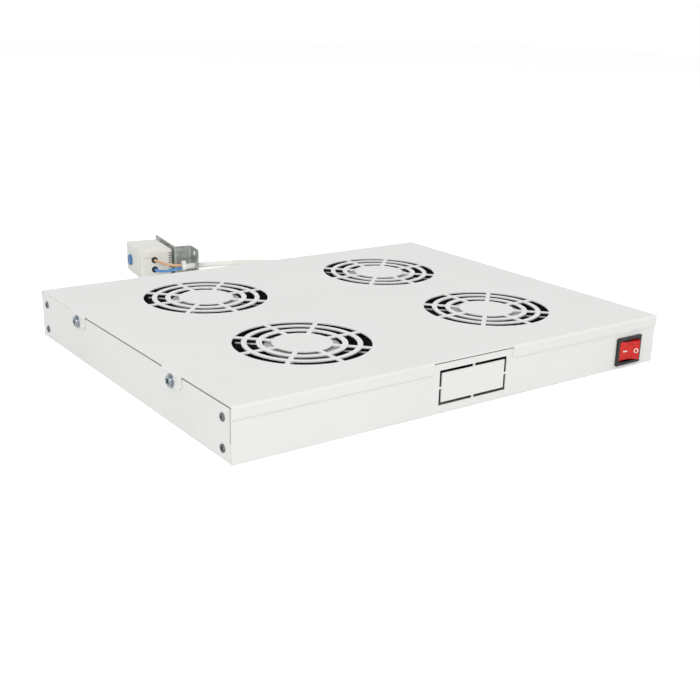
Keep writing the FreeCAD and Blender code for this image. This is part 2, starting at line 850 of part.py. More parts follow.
def switched_route():
    start = (switch_x - switch_tab_spacing_x / 2, front_face + 32, switch_z)
    path = inward((39, front_face + 54, 12), (23, front_face + 83, 4.6), (17, -52, 4), (17, -18, 6))
    return [start] + path + way(3, 5)


def inner_route():
    """The thermostat's cable, from the gland to the terminal block."""
    path = inward((72, rear_face - 24, 9.5), (55.5, rear_face - 35.5, 5), (51.5, rear_face - 65, 4),
                  (54, 66, 4), (50.7, 40, 6.4))
    return [(gland_x, rear_face + 7, gland_z), (gland_x, rear_face - 12, gland_z)] + path + way(0, 19)


def earth_route():
    path = inward((40.5, rear_face - 39.5, 22.5), (41.4, rear_face - 46, 12.5))
    return [(inlet_x, rear_face - 31, inlet_z + 4.4)] + path + [(earth_x, earth_y + 4.8, floor_top + 4.4)]


def fan_leads():
    """A sleeved pair from each fan to the terminal block."""
    leads = []
    for name, place, signs, route in zip(FAN_NAMES, FAN_PLACES, FAN_SIGNS, fan_lead_routes()):
        cover = boot(fan_tabs(*place, signs[1]), X_AXIS, 3.6)
        leads.append(one(join(cover, tube("lead_" + name, route, fan_lead_diameter))))
    return leads


def switch_tabs(side):
    """Two blade terminals, one above the other, behind one side of the switch."""
    x = switch_x + side * switch_tab_spacing_x / 2
    back = -half_depth + switch_body_depth
    return [centred(switch_tab_width, switch_tab_length, tab_thickness,
                    (x, back + switch_tab_length / 2, switch_z + s * switch_tab_spacing_z / 2))
            for s in (-1, 1)]


def inlet_tab(x, z):
    """A blade terminal behind the inlet."""
    back = half_depth - inlet_body_depth
    return centred(switch_tab_width, inlet_tab_length, tab_thickness,
                   (x, back - inlet_tab_length / 2, z))


def inlet_line_places():
    """Line and neutral pins of the inlet."""
    return [(inlet_x + side * inlet_pin_spacing / 2, inlet_z) for side in (-1, 1)]


def mains_lead():
    """Inlet to switch."""
    front = boot(switch_tabs(1), Y_AXIS, 3.0)
    rear = boot([inlet_tab(x, z) for x, z in inlet_line_places()], Y_AXIS * -1, 3.0)
    return one(join(front, rear, tube("mains_lead", mains_route(), mains_lead_diameter)))


def switched_lead():
    """Switch to terminal block."""
    cover = boot(switch_tabs(-1), Y_AXIS, 3.0)
    return one(join(cover, tube("switched_lead", switched_route(), mains_lead_diameter)))


def earth_lead():
    """Inlet earth tab to the ring lug on the earth stud."""
    tab = inlet_tab(inlet_x, inlet_z + inlet_earth_rise)
    cover = boot([tab], Y_AXIS * -1, 2.6)
    return one(join(cover, tube("earth_lead", earth_route(), earth_lead_diameter), earth_lug()))


def earth_lug():
    z = floor_top + nut_height
    ring = rod(lug_radius, (earth_x, earth_y, z), Z_AXIS, lug_thickness)
    crimp = block(earth_x - 1.6, earth_y + lug_radius - 0.35, z, earth_x + 1.6, earth_y + 7.5, z + 2.4)
    return one(join(ring, crimp).cut(rod(screw_radius, (earth_x, earth_y, 0), Z_AXIS, 30)))


def earth_stud():
    """Press-in stud with a nut below and a nut above the lug."""
    shank = rod(screw_radius, (earth_x, earth_y, 0), Z_AXIS, earth_stud_height)
    solids = [shank]
    for z in (floor_top, floor_top + nut_height + lug_thickness):
        nut = hexagon(screw_across, nut_height, (earth_x, earth_y, z), Z_AXIS)
        solids.append(one(nut.cut(shank)))
    return solids


def terminal_block():
    """Moulded strip, stepped down on both sides, with a wire way through each pole."""
    length = block_ways * block_pitch
    top = floor_top + block_height
    body = block(block_x - length / 2, block_y - block_width / 2, floor_top,
                 block_x + length / 2, block_y + block_width / 2, floor_top + block_height * 0.6)
    ridge = block(block_x - length / 2, block_y - block_width / 4, floor_top,
                  block_x + length / 2, block_y + block_width / 4, top)
    cuts = []
    for x in block_way_places():
        cuts.append(rod(block_way_radius, (x, block_y - block_width, floor_top + block_way_height),
                        Y_AXIS, 2 * block_width))
    for x, y in block_screw_places():
        cuts.append(rod(m3_radius, (x, y, 0), Z_AXIS, block_height * 2))
    return one(join(body, ridge).cut(cuts))


def block_way_places():
    first = block_x - (block_ways - 1) * block_pitch / 2
    return [first + i * block_pitch for i in range(block_ways)]


def block_screws():
    length = block_height + sheet
    screw = pan_screw(m3_head_radius, m3_head_height, m3_radius, length)
    return [moved(screw, x, y, floor_top + block_height) for x, y in block_screw_places()]


# ---- mains switch ----------------------------------------------------------------------
def switch_body():
    """Snap-in housing with its bezel and the well that the rocker turns in."""
    face = -half_depth - bezel_depth
    bezel = rounded_plate(bezel_width, bezel_height, bezel_depth, bezel_corner, (0, 0, 0))
    bezel = round_edges(bezel, 0.6, lambda edge: edge.BoundBox.ZMin > bezel_depth - 0.01)
    bezel = point_along(bezel, (0, 0, 0), Z_AXIS)
    bezel.Placement = Placement(Vector(switch_x, -half_depth, switch_z), Rotation(X_AXIS, 90))
    body = block(switch_x - switch_body_width / 2, -half_depth, switch_z - switch_body_height / 2,
                 switch_x + switch_body_width / 2, -half_depth + switch_body_depth,
                 switch_z + switch_body_height / 2)
    reach = rocker_radius() + rocker_play
    well = centred(2 * reach, 2 * (rocker_pivot_depth + reach),
                   rocker_height + 2 * rocker_play, (switch_x, face, switch_z))
    pins = rod(rocker_pin_radius + shaft_play,
               (switch_x, rocker_pivot_y(), switch_z - rocker_height / 2 - rocker_pin_length - 0.2),
               Z_AXIS, rocker_height + 2 * rocker_pin_length + 0.4)
    return one(join(bezel, body).cut([well, pins]))


def rocker_pivot_y():
    return -half_depth - bezel_depth + rocker_pivot_depth


def rocker_radius():
    return math.hypot(rocker_half_width, rocker_pivot_depth)


def switch_rocker():
    """Rocker at rest with its left side, I, pressed flush and its right side raised."""
    face = -half_depth - bezel_depth
    z = switch_z - rocker_height / 2
    radius = rocker_radius()
    drum = rod(radius, (switch_x, rocker_pivot_y(), z), Z_AXIS, rocker_height)
    far = 3 * radius
    slope = math.tan(math.radians(rocker_throw))
    corners = [Vector(switch_x - far, face, z), Vector(switch_x, face, z),
               Vector(switch_x + far, face - far * slope, z),
               Vector(switch_x + far, face - 3 * far, z), Vector(switch_x - far, face - 3 * far, z)]
    above = Part.Face(Part.makePolygon(corners + corners[:1])).extrude(Z_AXIS * rocker_height)
    rocker = one(drum.cut(above))
    outer = [edge for edge in rocker.Edges if along(edge, Z_AXIS)
             and abs(edge.BoundBox.XMin - switch_x) > 5]
    rocker = rocker.makeFillet(0.6, outer)
    pins = rod(rocker_pin_radius, (switch_x, rocker_pivot_y(), z - rocker_pin_length),
               Z_AXIS, rocker_height + 2 * rocker_pin_length)
    return one(join(rocker, pins))


def switch_terminals():
    return switch_tabs(-1) + switch_tabs(1)


# ---- appliance inlet -----------------------------------------------------------------------
def socket_outline(width, height, corner, y):
    """Socket outline in an upright plane, its lower corners cut off."""
    w = width / 2
    h = height / 2
    outline = [(-w, h), (w, h), (w, -h + corner), (w - corner, -h),
               (-w + corner, -h), (-w, -h + corner)]
    points = [Vector(inlet_x + u, y, inlet_z + v) for u, v in outline]
    return Part.Face(Part.makePolygon(points + points[:1]))


def inlet_body():
    """Panel inlet: screwed flange and a deep socket that opens to the rear."""
    face = half_depth + inlet_flange
    flange = centred(inlet_flange_width, inlet_flange, inlet_flange_height,
                     (inlet_x, half_depth + inlet_flange / 2, inlet_z))
    flange = round_edges(flange, 4.0, lambda edge: along(edge, Y_AXIS))
    back = half_depth - inlet_body_depth
    outer = socket_outline(inlet_body_width, inlet_body_height, inlet_corner, back)
    body = outer.extrude(Y_AXIS * inlet_body_depth)
    inner = socket_outline(inlet_cavity_width, inlet_cavity_height, inlet_corner - 1,
                           face - inlet_cavity_depth)
    cuts = [inner.extrude(Y_AXIS * (inlet_cavity_depth + 1))]
    cuts.extend(inlet_pins())
    for side in (-1, 1):
        x = inlet_x + side * inlet_screw_spacing / 2
        cuts.append(rod(m3_hole, (x, half_depth - 1, inlet_z), Y_AXIS, inlet_flange + 2))
        cuts.append(inlet_sink(x, face, 0.1))
    return one(join(flange, body).cut(cuts))


def inlet_sink(x, face, play):
    """Cone of a countersunk head, flush with the flange."""
    depth = m3_head_height
    return Part.makeCone(m3_head_radius + play, m3_radius + play, depth,
                         Vector(x, face, inlet_z), Y_AXIS * -1)


def inlet_pins():
    """Line, neutral and earth: flat pins in front, blade terminals behind."""
    back = half_depth - inlet_body_depth
    root = half_depth + inlet_flange - inlet_cavity_depth
    places = inlet_line_places() + [(inlet_x, inlet_z + inlet_earth_rise)]
    pins = []
    for x, z in places:
        front = block(x - inlet_pin_width / 2, back, z - inlet_pin_height / 2,
                      x + inlet_pin_width / 2, root + inlet_pin_length, z + inlet_pin_height / 2)
        pins.append(one(join(front, inlet_tab(x, z))))
    return pins


def inlet_fixings():
    """Two countersunk screws and the nuts behind the panel."""
    solids = []
    face = half_depth + inlet_flange
    for side in (-1, 1):
        x = inlet_x + side * inlet_screw_spacing / 2
        length = inlet_flange + sheet + m3_nut_height + 1
        shank = rod(m3_radius, (x, face - length, inlet_z), Y_AXIS, length)
        slit = centred(m3_head_radius * 2.2, 1.4, 0.8, (x, face, inlet_z))
        screw = join(shank, inlet_sink(x, face, 0))
        solids.append(one(screw.cut(slit)))
        nut = hexagon(m3_nut_across, m3_nut_height, (x, panel_inner, inlet_z), Y_AXIS * -1)
        solids.append(one(nut.cut(shank)))
    return solids


# ---- cable gland -----------------------------------------------------------------------------
def gland_parts():
    """Body, clamping cap, rubber seal and locknut of the gland."""
    bore = cable_diameter / 2 + 2 * cable_play
    hex_part = hexagon(gland_across, gland_flange, (gland_x, half_depth, gland_z), Y_AXIS)
    inside = sheet + gland_thread_length
    thread = rod(gland_thread_radius, (gland_x, half_depth - inside, gland_z), Y_AXIS, inside)
    through = rod(bore, (gland_x, half_depth - 2 * inside, gland_z), Y_AXIS, 5 * inside)
    body = one(join(hex_part, thread).cut(through))
    cap_start = half_depth + gland_flange
    cap = rod(gland_cap_radius, (gland_x, cap_start, gland_z), Y_AXIS, gland_cap_length)
    rim = [edge for edge in cap.Edges if edge.BoundBox.YMin > cap_start + gland_cap_length - 0.01]
    cap = cap.makeFillet(gland_cap_round, rim)
    seal_place = (gland_x, cap_start, gland_z)
    seal_length = gland_cap_length * 0.5
    seal_radius = gland_cap_radius - 2.4
    seal_room = rod(seal_radius, seal_place, Y_AXIS, seal_length)
    cap = one(cap.cut([through, seal_room]))
    grip = rod(cable_diameter / 2, seal_place, Y_AXIS, seal_length)
    seal = one(seal_room.cut(grip))
    nut = hexagon(gland_across, gland_locknut_height, (gland_x, panel_inner, gland_z), Y_AXIS * -1)
    nut = one(nut.cut(thread).cut(through))
    return body, cap, seal, nut


# ---- thermostat, in its own frame: +X from the dial to the bracket, +Y its length -------------
thermostat_place = Placement(Vector(thermostat_x, thermostat_y, 0),
                             Rotation(Z_AXIS, thermostat_turn))
cable_axis_y = -(bracket_overhang + bracket_hole_offset)
plate_x = case_depth + rear_shell_depth + foot_depth
middle_z = thermostat_height / 2


def placed(shape):
    """A thermostat piece moved from its own frame to its place behind the tray."""
    copy = shape.copy()
    copy.Placement = thermostat_place.multiply(copy.Placement)
    return copy


def entry_places():
    return [(entry_x, middle_z + s * entry_spacing / 2) for s in (1, -1)]


def thermostat_case():
    """Moulded front housing with the dial's recess and the two wire entries."""
    case = block(0, 0, 0, case_depth, thermostat_length, thermostat_height)
    case = round_edges(case, case_round,
                       lambda edge: along(edge, X_AXIS) or edge.BoundBox.XMax < 0.01)
    cuts = [rod(dial_radius + dial_gap, (-1, dial_y, dial_z), X_AXIS, 2.0),
            rod(spindle_radius + shaft_play, (0, dial_y, dial_z), X_AXIS, spindle_length + 0.5)]
    for x, z in entry_places():
        cuts.append(rod(entry_radius, (x, -1, z), Y_AXIS, entry_depth + 1))
        cuts.append(Part.makeCone(entry_radius + entry_rim, entry_radius, entry_rim,
                                  Vector(x, 0, z), Y_AXIS))
    cuts.append(block(case_round, -1, latch_slot_z - latch_slot_width / 2,
                      latch_slot_length, latch_slot_depth, latch_slot_z + latch_slot_width / 2))
    return one(case.cut(cuts))


def thermostat_base():
    """Rear shell with a comb of vents on both ends, and the foot under it."""
    shell = block(case_depth, 0, 0, case_depth + rear_shell_depth, thermostat_length,
                  thermostat_height)
    shell = round_edges(shell, case_round, lambda edge: along(edge, X_AXIS))
    foot = block(case_depth + 1, foot_inset_y, foot_inset_z, plate_x,
                 thermostat_length - foot_inset_y, thermostat_height - foot_inset_z)
    cuts = []
    first = middle_z - (vent_count - 1) * vent_pitch / 2
    for i in range(vent_count):
        z = first + i * vent_pitch
        for y in (0, thermostat_length):
            cuts.append(centred(2 * (rear_shell_depth - 0.8), 2 * vent_depth, vent_width,
                                (case_depth + rear_shell_depth, y, z)))
    for y in bracket_screw_places():
        cuts.append(rod(m3_radius, (case_depth + 1, y, middle_z), X_AXIS, 20))
    return one(join(shell, foot).cut(cuts))


def bracket_screw_places():
    middle = thermostat_length / 2
    return [middle - bracket_screw_spacing / 2, middle + bracket_screw_spacing / 2]


def thermostat_dial():
    """Setting dial with a screwdriver slot, on its spindle."""
    face = 1.0 - dial_gap
    disc = rod(dial_radius, (face - dial_height - 0.7, dial_y, dial_z), X_AXIS, dial_height + 0.7)
    front = [edge for edge in disc.Edges if edge.BoundBox.XMax < face - dial_height - 0.69]
    disc = disc.makeFillet(0.6, front)
    spindle = rod(spindle_radius, (face - 1, dial_y, dial_z), X_AXIS, spindle_length)
    slot = centred(2 * dial_slot_depth, dial_slot, 2 * dial_radius - 3,
                   (face - dial_height - 0.7, dial_y, dial_z))
    return one(join(disc, spindle).cut(slot))


def sensor_bracket():
    """Z-shaped galvanised strip: back plate, web and front plate with two holes."""
    half = bracket_sheet / 2
    back = plate_x + half
    web = -bracket_overhang + half
    front = plate_x + bracket_web + half
    points = [(back, bracket_back_length - bracket_overhang), (back, web), (front, web),
              (front, -bracket_overhang - bracket_front_length)]
    strip = folded(points, bracket_sheet, bracket_bend, lambda u, v: Vector(u, v, 0),
                   Z_AXIS * bracket_height)
    ends = [edge for edge in strip.Edges
            if along(edge, X_AXIS) and edge.Length < bracket_sheet + 0.1]
    strip = strip.makeFillet(bracket_corner, ends)
    cuts = [rod(bracket_hole_radius, (front - 5, cable_axis_y, bracket_hole_z), X_AXIS, 10),
            rod(cable_hole_radius, (front - 5, cable_axis_y, cable_z), X_AXIS, 10)]
    for y in bracket_screw_places():
        cuts.append(rod(m3_hole, (back - 5, y, middle_z), X_AXIS, 10))
    return one(strip.cut(cuts))


def bracket_screws():
    screw = pan_screw(m3_head_radius, m3_head_height, m3_radius, bracket_sheet + 4.5)
    return [point_along(screw, (plate_x + bracket_sheet, y, middle_z), X_AXIS)
            for y in bracket_screw_places()]


def cable_tie():
    """A tie round the sheath's end, its head on top."""
    radius = cable_diameter / 2 + tie_play
    place = (tie_start, cable_axis_y, cable_z)
    band = rod(radius + tie_thickness, place, X_AXIS, tie_width)
    head = block(tie_start - 0.5, cable_axis_y - tie_head / 2, cable_z + radius + 0.3,
                 tie_start - 0.5 + tie_head, cable_axis_y + tie_head / 2,
                 cable_z + radius + 0.3 + tie_head_height)
    head = round_edges(head, 0.6, lambda edge: along(edge, Z_AXIS))
    end = (tie_start - 2, cable_axis_y, cable_z)
    return one(join(band, head).cut(rod(radius, end, X_AXIS, tie_width + 6)))


# Two wires from the entries to the sheath's end, in the thermostat's frame.
BROWN_ROUTE = [(15.5, 5, 22), (15.6, -5.5, 21.8), (22, -13, 20), (32, -15.2, 17.6),
               (42.5, -14.4, 16.8)]
BLUE_ROUTE = [(15.5, 5, 11), (15.6, -5.5, 10.8), (22.5, -12.6, 10.9), (32.5, -15, 12.4),
              (42.5, -14.4, 13.6)]
# The sheathed cable from there through the bracket, over the surface and into the gland.
CABLE_ROUTE = [(-12.6, 302.48, 15.2), (19.5, 297.68, 15.2), (53, 293, 14.3),
               (87, 287.4, 12.6), (110, 283.4, 9), (gland_x - 8.5, rear_face + 94.5, 4.4),
               (gland_x + 3.5, rear_face + 74.5, 3.15), (gland_x + 4.5, rear_face + 54.5, 5.8),
               (gland_x, rear_face + 31.5, gland_z), (gland_x, rear_face + 7, gland_z)]


# ---- all the pieces ---------------------------------------------------------------------------
def build_all():
    parts["base_pan"] = base_pan()
    parts["front_panel"] = front_panel()
    parts["rear_panel"] = rear_panel()
    parts["top_cover"] = top_cover()
    parts["corner_brackets"] = corner_brackets()
    parts["panel_screws"] = panel_screws()
    parts["cover_screws"] = cover_screws()
    parts["cover_nuts"] = cover_nuts()
    frame = fan_frame()
    impeller = fan_impeller()
    stator = fan_stator()
    shaft = fan_shaft()
    for name, (x, y) in zip(FAN_NAMES, FAN_PLACES):
        parts["fan_frame_" + name] = moved(frame, x, y)
        parts["fan_impeller_" + name] = moved(impeller, x, y)
        parts["fan_stator_" + name] = moved(stator, x, y)
        parts["fan_shaft_" + name] = moved(shaft, x, y)
    rings = fan_bearings()
    parts["fan_bearings"] = [moved(ring, x, y) for x, y in FAN_PLACES for ring in rings]
    parts["fan_labels"] = [moved(fan_label(), x, y) for x, y in FAN_PLACES]
    parts["fan_screws"] = fan_screws()
    parts["fan_terminals"] = fan_terminals()
    parts["fan_leads"] = fan_leads()
    parts["mains_lead"] = mains_lead()
    parts["switched_lead"] = switched_lead()
    parts["earth_lead"] = earth_lead()
    parts["earth_stud"] = earth_stud()
    parts["terminal_block"] = terminal_block()
    parts["block_screws"] = block_screws()
    parts["switch_body"] = switch_body()
    parts["switch_rocker"] = switch_rocker()
    parts["switch_terminals"] = switch_terminals()
    parts["inlet_body"] = inlet_body()
    parts["inlet_pins"] = inlet_pins()
    parts["inlet_fixings"] = inlet_fixings()
    body, cap, seal, nut = gland_parts()
    parts["gland_body"] = body
    parts["gland_cap"] = cap
    parts["gland_seal"] = seal
    parts["gland_locknut"] = nut
    parts["thermostat_case"] = placed(thermostat_case())
    parts["thermostat_base"] = placed(thermostat_base())
    parts["thermostat_dial"] = placed(thermostat_dial())
    parts["sensor_bracket"] = placed(sensor_bracket())
    parts["bracket_screws"] = [placed(screw) for screw in bracket_screws()]
    parts["cable_tie"] = placed(cable_tie())
    parts["wire_brown"] = placed(tube("wire_brown", BROWN_ROUTE, wire_diameter))
    parts["wire_blue"] = placed(tube("wire_blue", BLUE_ROUTE, wire_diameter))
    parts["inner_lead"] = tube("inner_lead", inner_route(), inner_lead_diameter)
    parts["thermostat_cable"] = tube("thermostat_cable", CABLE_ROUTE, cable_diameter)


build_all()
os.makedirs("parts", exist_ok=True)
for node, solids in parts.items():
    shape = Part.makeCompound(solids) if isinstance(solids, list) else solids
    shape.exportStep("parts/" + node + ".step")
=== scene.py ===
"""Dresses a one-unit rack fan tray: finishes for every CAD node, recessed screws, the rocker
switch and its marks, label caps and ridges on the fans, the thermostat's cable, wires and small
parts, and a plain pale studio."""
import json
import math

import bpy
from bpy.props import FloatProperty, FloatVectorProperty, PointerProperty
from mathutils import Matrix, Vector

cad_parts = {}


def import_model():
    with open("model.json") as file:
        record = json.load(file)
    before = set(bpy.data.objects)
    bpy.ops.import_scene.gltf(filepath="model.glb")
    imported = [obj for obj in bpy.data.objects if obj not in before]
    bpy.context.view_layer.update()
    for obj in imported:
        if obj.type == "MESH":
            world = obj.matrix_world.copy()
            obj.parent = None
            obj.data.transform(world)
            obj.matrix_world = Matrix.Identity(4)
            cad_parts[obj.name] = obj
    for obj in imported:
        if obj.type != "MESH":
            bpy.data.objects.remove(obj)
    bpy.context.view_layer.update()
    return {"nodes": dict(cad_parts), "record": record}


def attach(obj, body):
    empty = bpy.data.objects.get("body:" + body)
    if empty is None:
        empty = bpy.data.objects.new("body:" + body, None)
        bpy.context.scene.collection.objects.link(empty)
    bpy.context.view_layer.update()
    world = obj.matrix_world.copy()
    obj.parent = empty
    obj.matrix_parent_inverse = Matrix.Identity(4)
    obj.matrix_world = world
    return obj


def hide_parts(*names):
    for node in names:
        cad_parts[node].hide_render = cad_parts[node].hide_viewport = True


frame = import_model()

bl_info = {
    "name": "Rack Fan Tray",
    "version": (1, 0, 0),
    "blender": (4, 2, 0),
    "location": "View3D > Sidebar > Fan Tray",
    "description": "Finishes, screws, switch, fan hubs and cables for a rack fan tray",
    "category": "Object",
}

MM = 0.001
TINY = 1e-6                   # metres; less than this is the same height
CASE = "case"

# ---- sizes in millimetres, in the tray's own frame ---------------------------------------
HALF_WIDTH = 220.0
CORNER_SCREWS = [(y, z) for y in (-165.0, 165.0) for z in (9.0, 32.2)]
COVER_SCREWS = [(y, 35.8) for y in (-89.5, 89.5)]
CORNER_HEAD_RISE = 0.9
CORNER_SHANK = 2.0                    # radius
COVER_HEAD_RISE = 2.2
COVER_SHANK = 2.5                     # radius
SHANK_LENGTH = 5.0                    # drawn length behind the face
FLANGE_THICK = 0.8                    # flange under a cover screw's head
RECESS = 1.7                          # depth of the cross
DEEP = 1.0                            # lowest that a cross reaches behind the face
TAB_FACE = 221.1                      # outer face of the cover's screw tabs
SWITCH = (185.2, -179.0, 16.0)        # middle of the rocker's edge line
BEZEL = (31.3, 25.6)                  # width and height of the switch's bezel
BEZEL_THICK = 2.0
BEZEL_CORNER = 1.5                    # radius of its four corners
BEZEL_RIM = 0.35                      # rounding of its outer edge
BEZEL_BAND = 2.75                     # flat face of the bezel, before it funnels in
FUNNEL = (0.9, 1.5)                   # how far it narrows, over what depth
WELL_DEPTH = 13.6                     # from the funnel's foot to the well's floor
HOUSING_INSET = 1.8                   # bezel's overhang round the housing
SWITCH_DEPTH = 22.0                   # bezel face to the back of the housing
ROCKER_HEIGHT = 17.6
ROCKER_RADIUS = 11.3                  # reach of the rocker's ends from its pivot
PIVOT_DEPTH = 2.6                     # pivot behind the bezel's face
VALLEY_DEPTH = 0.8                    # line where the rocker's faces meet, behind the bezel
PRESSED_ANGLE = 4.0                   # degrees that the pressed face leans in
RAISED_ANGLE = 28.0                   # degrees that the raised face stands out
ROCKER_EDGE = 0.6                     # rounding of the rocker's front edges
MARK_HEIGHT = -0.6                    # middle of the marks, from the rocker's middle
MARK_TOP = 0.12                       # how far the marks stand off the face
MARK_FOOT = -0.1                      # and how far they reach into it
DASH = (5.2, 1.1, 0.4)                # length, width and corner of the mark for on
DASH_REACH = 4.1                      # valley to the middle of the dash
RING = (2.15, 1.42)                   # outer and inner radius of the mark for off
RING_REACH = 7.2                      # valley to the middle of the ring
FAN_CENTRES = [(x, y) for x in (-100.0, 100.0) for y in (-81.0, 81.0)]
LABEL_CAP = (31.3, 38.7, 41.1)        # radius, underside and top of a hub's label cap
LABEL_EDGE = 0.5
STRUT_RIDGE = (33.5, 55.5, 2.3, 39.2)     # inner and outer reach, width and top of a ridge
RIDGE_DEPTH = 1.0
RIDGE_EDGE = 0.25
STRUT_ANGLE = 45                      # degrees from X to the first strut
THERMOSTAT = (-52.5, 323.0)           # near lower corner of the housing on the dial side
THERMOSTAT_TURN = -8.5                # degrees about the vertical
VENT_SHADE_ENDS = ((0.9, 2.3), (57.7, 59.1))     # black strips along the housing, behind both combs: painted shade in the vents
VENT_SHADE_ACROSS = (32.0, 35.4)
VENT_SHADE_UP = (3.6, 29.4)
GROMMET = (3.7, 1.4, 0.4, 0.3)        # radius, length, stand-off and edge of a wire's grommet

# Cord routes, the same points as the solid tubes follow.
WIRE_BROWN = [(15.5, 5, 22), (15.6, -5.5, 21.8), (22, -13, 20), (32, -15.2, 17.6),
              (42.5, -14.4, 16.8)]
WIRE_BLUE = [(15.5, 5, 11), (15.6, -5.5, 10.8), (22.5, -12.6, 10.9), (32.5, -15, 12.4),
             (42.5, -14.4, 13.6)]
CABLE = [(-12.6, 302.48, 15.2), (19.5, 297.68, 15.2), (53, 293, 14.3), (87, 287.4, 12.6),
         (110, 283.4, 9), (130.5, 271.5, 4.4), (142.5, 251.5, 3.15), (143.5, 231.5, 5.8),
         (139, 208.5, 14), (139, 184, 14)]


# Where the pan's paint lies in the shade of a seam.
FOLD_SHADE_FOOT = 41.2                # lowest of the shade along the walls' top folds
FOLD_SHADE_BACK = 88.0                # and where along the wall it ends
END_SHADE_FOOT = 16.0                 # lowest of the shade at the walls' front ends
END_SHADE_BACK = -175.1               # and how far back from the ends it reaches

# Camera, in degrees and in the tray's own millimetres.
CAMERA_TURN = (-36.153, 17.932, 1.588)        # azimuth, elevation and roll
CAMERA_SPOT = (-547.64, -759.17, 300.61)
CAMERA_LENS = 54.35

# Soft lamps: name, place and width in metres, and power in watts.
LAMPS = (("key", (-1.8, -1.7, 1.6), 1.6, 33.0),
         ("fill", (1.9, -1.7, 1.3), 1.6, 11.5),
         ("top", (0.1, 0.9, 2.4), 2.2, 8.0))
FLOOR_SIZE = 14.0
FLOOR_DROP = 0.2                      # floor below the tray, in millimetres
FLOOR_GLOW = 0.42                     # what the camera adds to the floor
WORLD_LIGHT = 0.62                    # strength of the world where it lights the tray


def from_thermostat(x, y, z):
    """A point of the thermostat's own frame, moved to its place behind the tray."""
    return thermostat_turn() @ Vector((x, y, z)) + Vector((*THERMOSTAT, 0))


def thermostat_turn():
    return Matrix.Rotation(math.radians(THERMOSTAT_TURN), 4, "Z")


# ---- values a user would change -----------------------------------------------------------
class FanTrayFinish(bpy.types.PropertyGroup):
    powder: FloatVectorProperty(
        name="Powder coat", description="Colour of the painted sheet metal",
        default=(0.80, 0.81, 0.79), size=3, min=0, max=1, subtype="COLOR")
    rocker: FloatVectorProperty(
        name="Rocker", description="Colour of the switch rocker",
        default=(0.72, 0.016, 0.010), size=3, min=0, max=1, subtype="COLOR")
    coat_grain: FloatProperty(
        name="Coat grain", description="Size of the powder coat's orange peel",
        default=0.0022, min=0.0003, max=0.02, unit="LENGTH")


class FanTrayFittings(bpy.types.PropertyGroup):
    corner_head: FloatProperty(
        name="Corner screw head", description="Head radius of the corner screws",
        default=0.0033, min=0.002, max=0.006, unit="LENGTH")
    cover_head: FloatProperty(
        name="Cover screw head", description="Head radius of the cover screws",
        default=0.0045, min=0.002, max=0.008, unit="LENGTH")
    cover_flange: FloatProperty(
        name="Cover screw flange", description="Radius of the flange under a cover screw's head",
        default=0.0056, min=0.003, max=0.009, unit="LENGTH")
    cable: FloatProperty(
        name="Cable diameter", description="Outside diameter of the thermostat's cable",
        default=0.0062, min=0.003, max=0.01, unit="LENGTH")
    wire: FloatProperty(
        name="Wire diameter", description="Outside diameter of the thermostat's wires",
        default=0.003, min=0.001, max=0.004, unit="LENGTH")


# ---- materials ----------------------------------------------------------------------------
def linear(code):
    """An sRGB hex colour as linear red, green, blue and alpha."""
    values = [int(code[i:i + 2], 16) / 255 for i in (0, 2, 4)]
    return [v / 12.92 if v <= 0.04045 else ((v + 0.055) / 1.055) ** 2.4 for v in values] + [1.0]


def add(tree, kind, links=(), values=(), **settings):
    """Adds a node with its settings, socket values and incoming links."""
    node = tree.nodes.new(kind)
    for key, value in settings.items():
        setattr(node, key, value)
    for socket, value in values:
        node.inputs[socket].default_value = value
    for socket, source in links:
        tree.links.new(source, node.inputs[socket])
    return node


def start(name):
    """An empty material with its shader, its output and the object's own coordinates."""
    material = bpy.data.materials.new(name)
    material.use_nodes = True
    tree = material.node_tree
    tree.nodes.clear()
    place = add(tree, "ShaderNodeTexCoord").outputs["Object"]
    shader = add(tree, "ShaderNodeBsdfPrincipled")
    add(tree, "ShaderNodeOutputMaterial", [("Surface", shader.outputs["BSDF"])])
    return material, tree, place, shader


def ramp(tree, source, stops):
    """A colour ramp over source, from (position, colour) stops."""
    node = add(tree, "ShaderNodeValToRGB", [("Fac", source)])
    elements = node.color_ramp.elements
    while len(elements) < len(stops):
        elements.new(0.5)
    for element, (position, colour) in zip(elements, stops):
        element.position = position
        element.color = colour
    return node.outputs["Color"]


def noise(tree, place, size, detail=2.0, rough=0.5):
    """Noise whose features are size metres across."""
    return add(tree, "ShaderNodeTexNoise", [("Vector", place)],
               [("Scale", 1 / size), ("Detail", detail), ("Roughness", rough)]).outputs["Fac"]


def stretched(tree, place, scale):
    return add(tree, "ShaderNodeMapping", [("Vector", place)],
               [("Scale", scale)]).outputs["Vector"]


def rough_between(tree, shader, source, low, high):
    """Roughness that runs from low to high with source."""
    spread = add(tree, "ShaderNodeMapRange", [("Value", source)],
                 [("From Min", 0.3), ("From Max", 0.7), ("To Min", low), ("To Max", high)])
    tree.links.new(spread.outputs["Result"], shader.inputs["Roughness"])


def bumped(tree, shader, source, height, strength=1.0):
    """Relief of height metres from source."""
    bump = add(tree, "ShaderNodeBump", [("Height", source)],
               [("Distance", height), ("Strength", strength)])
    tree.links.new(bump.outputs["Normal"], shader.inputs["Normal"])


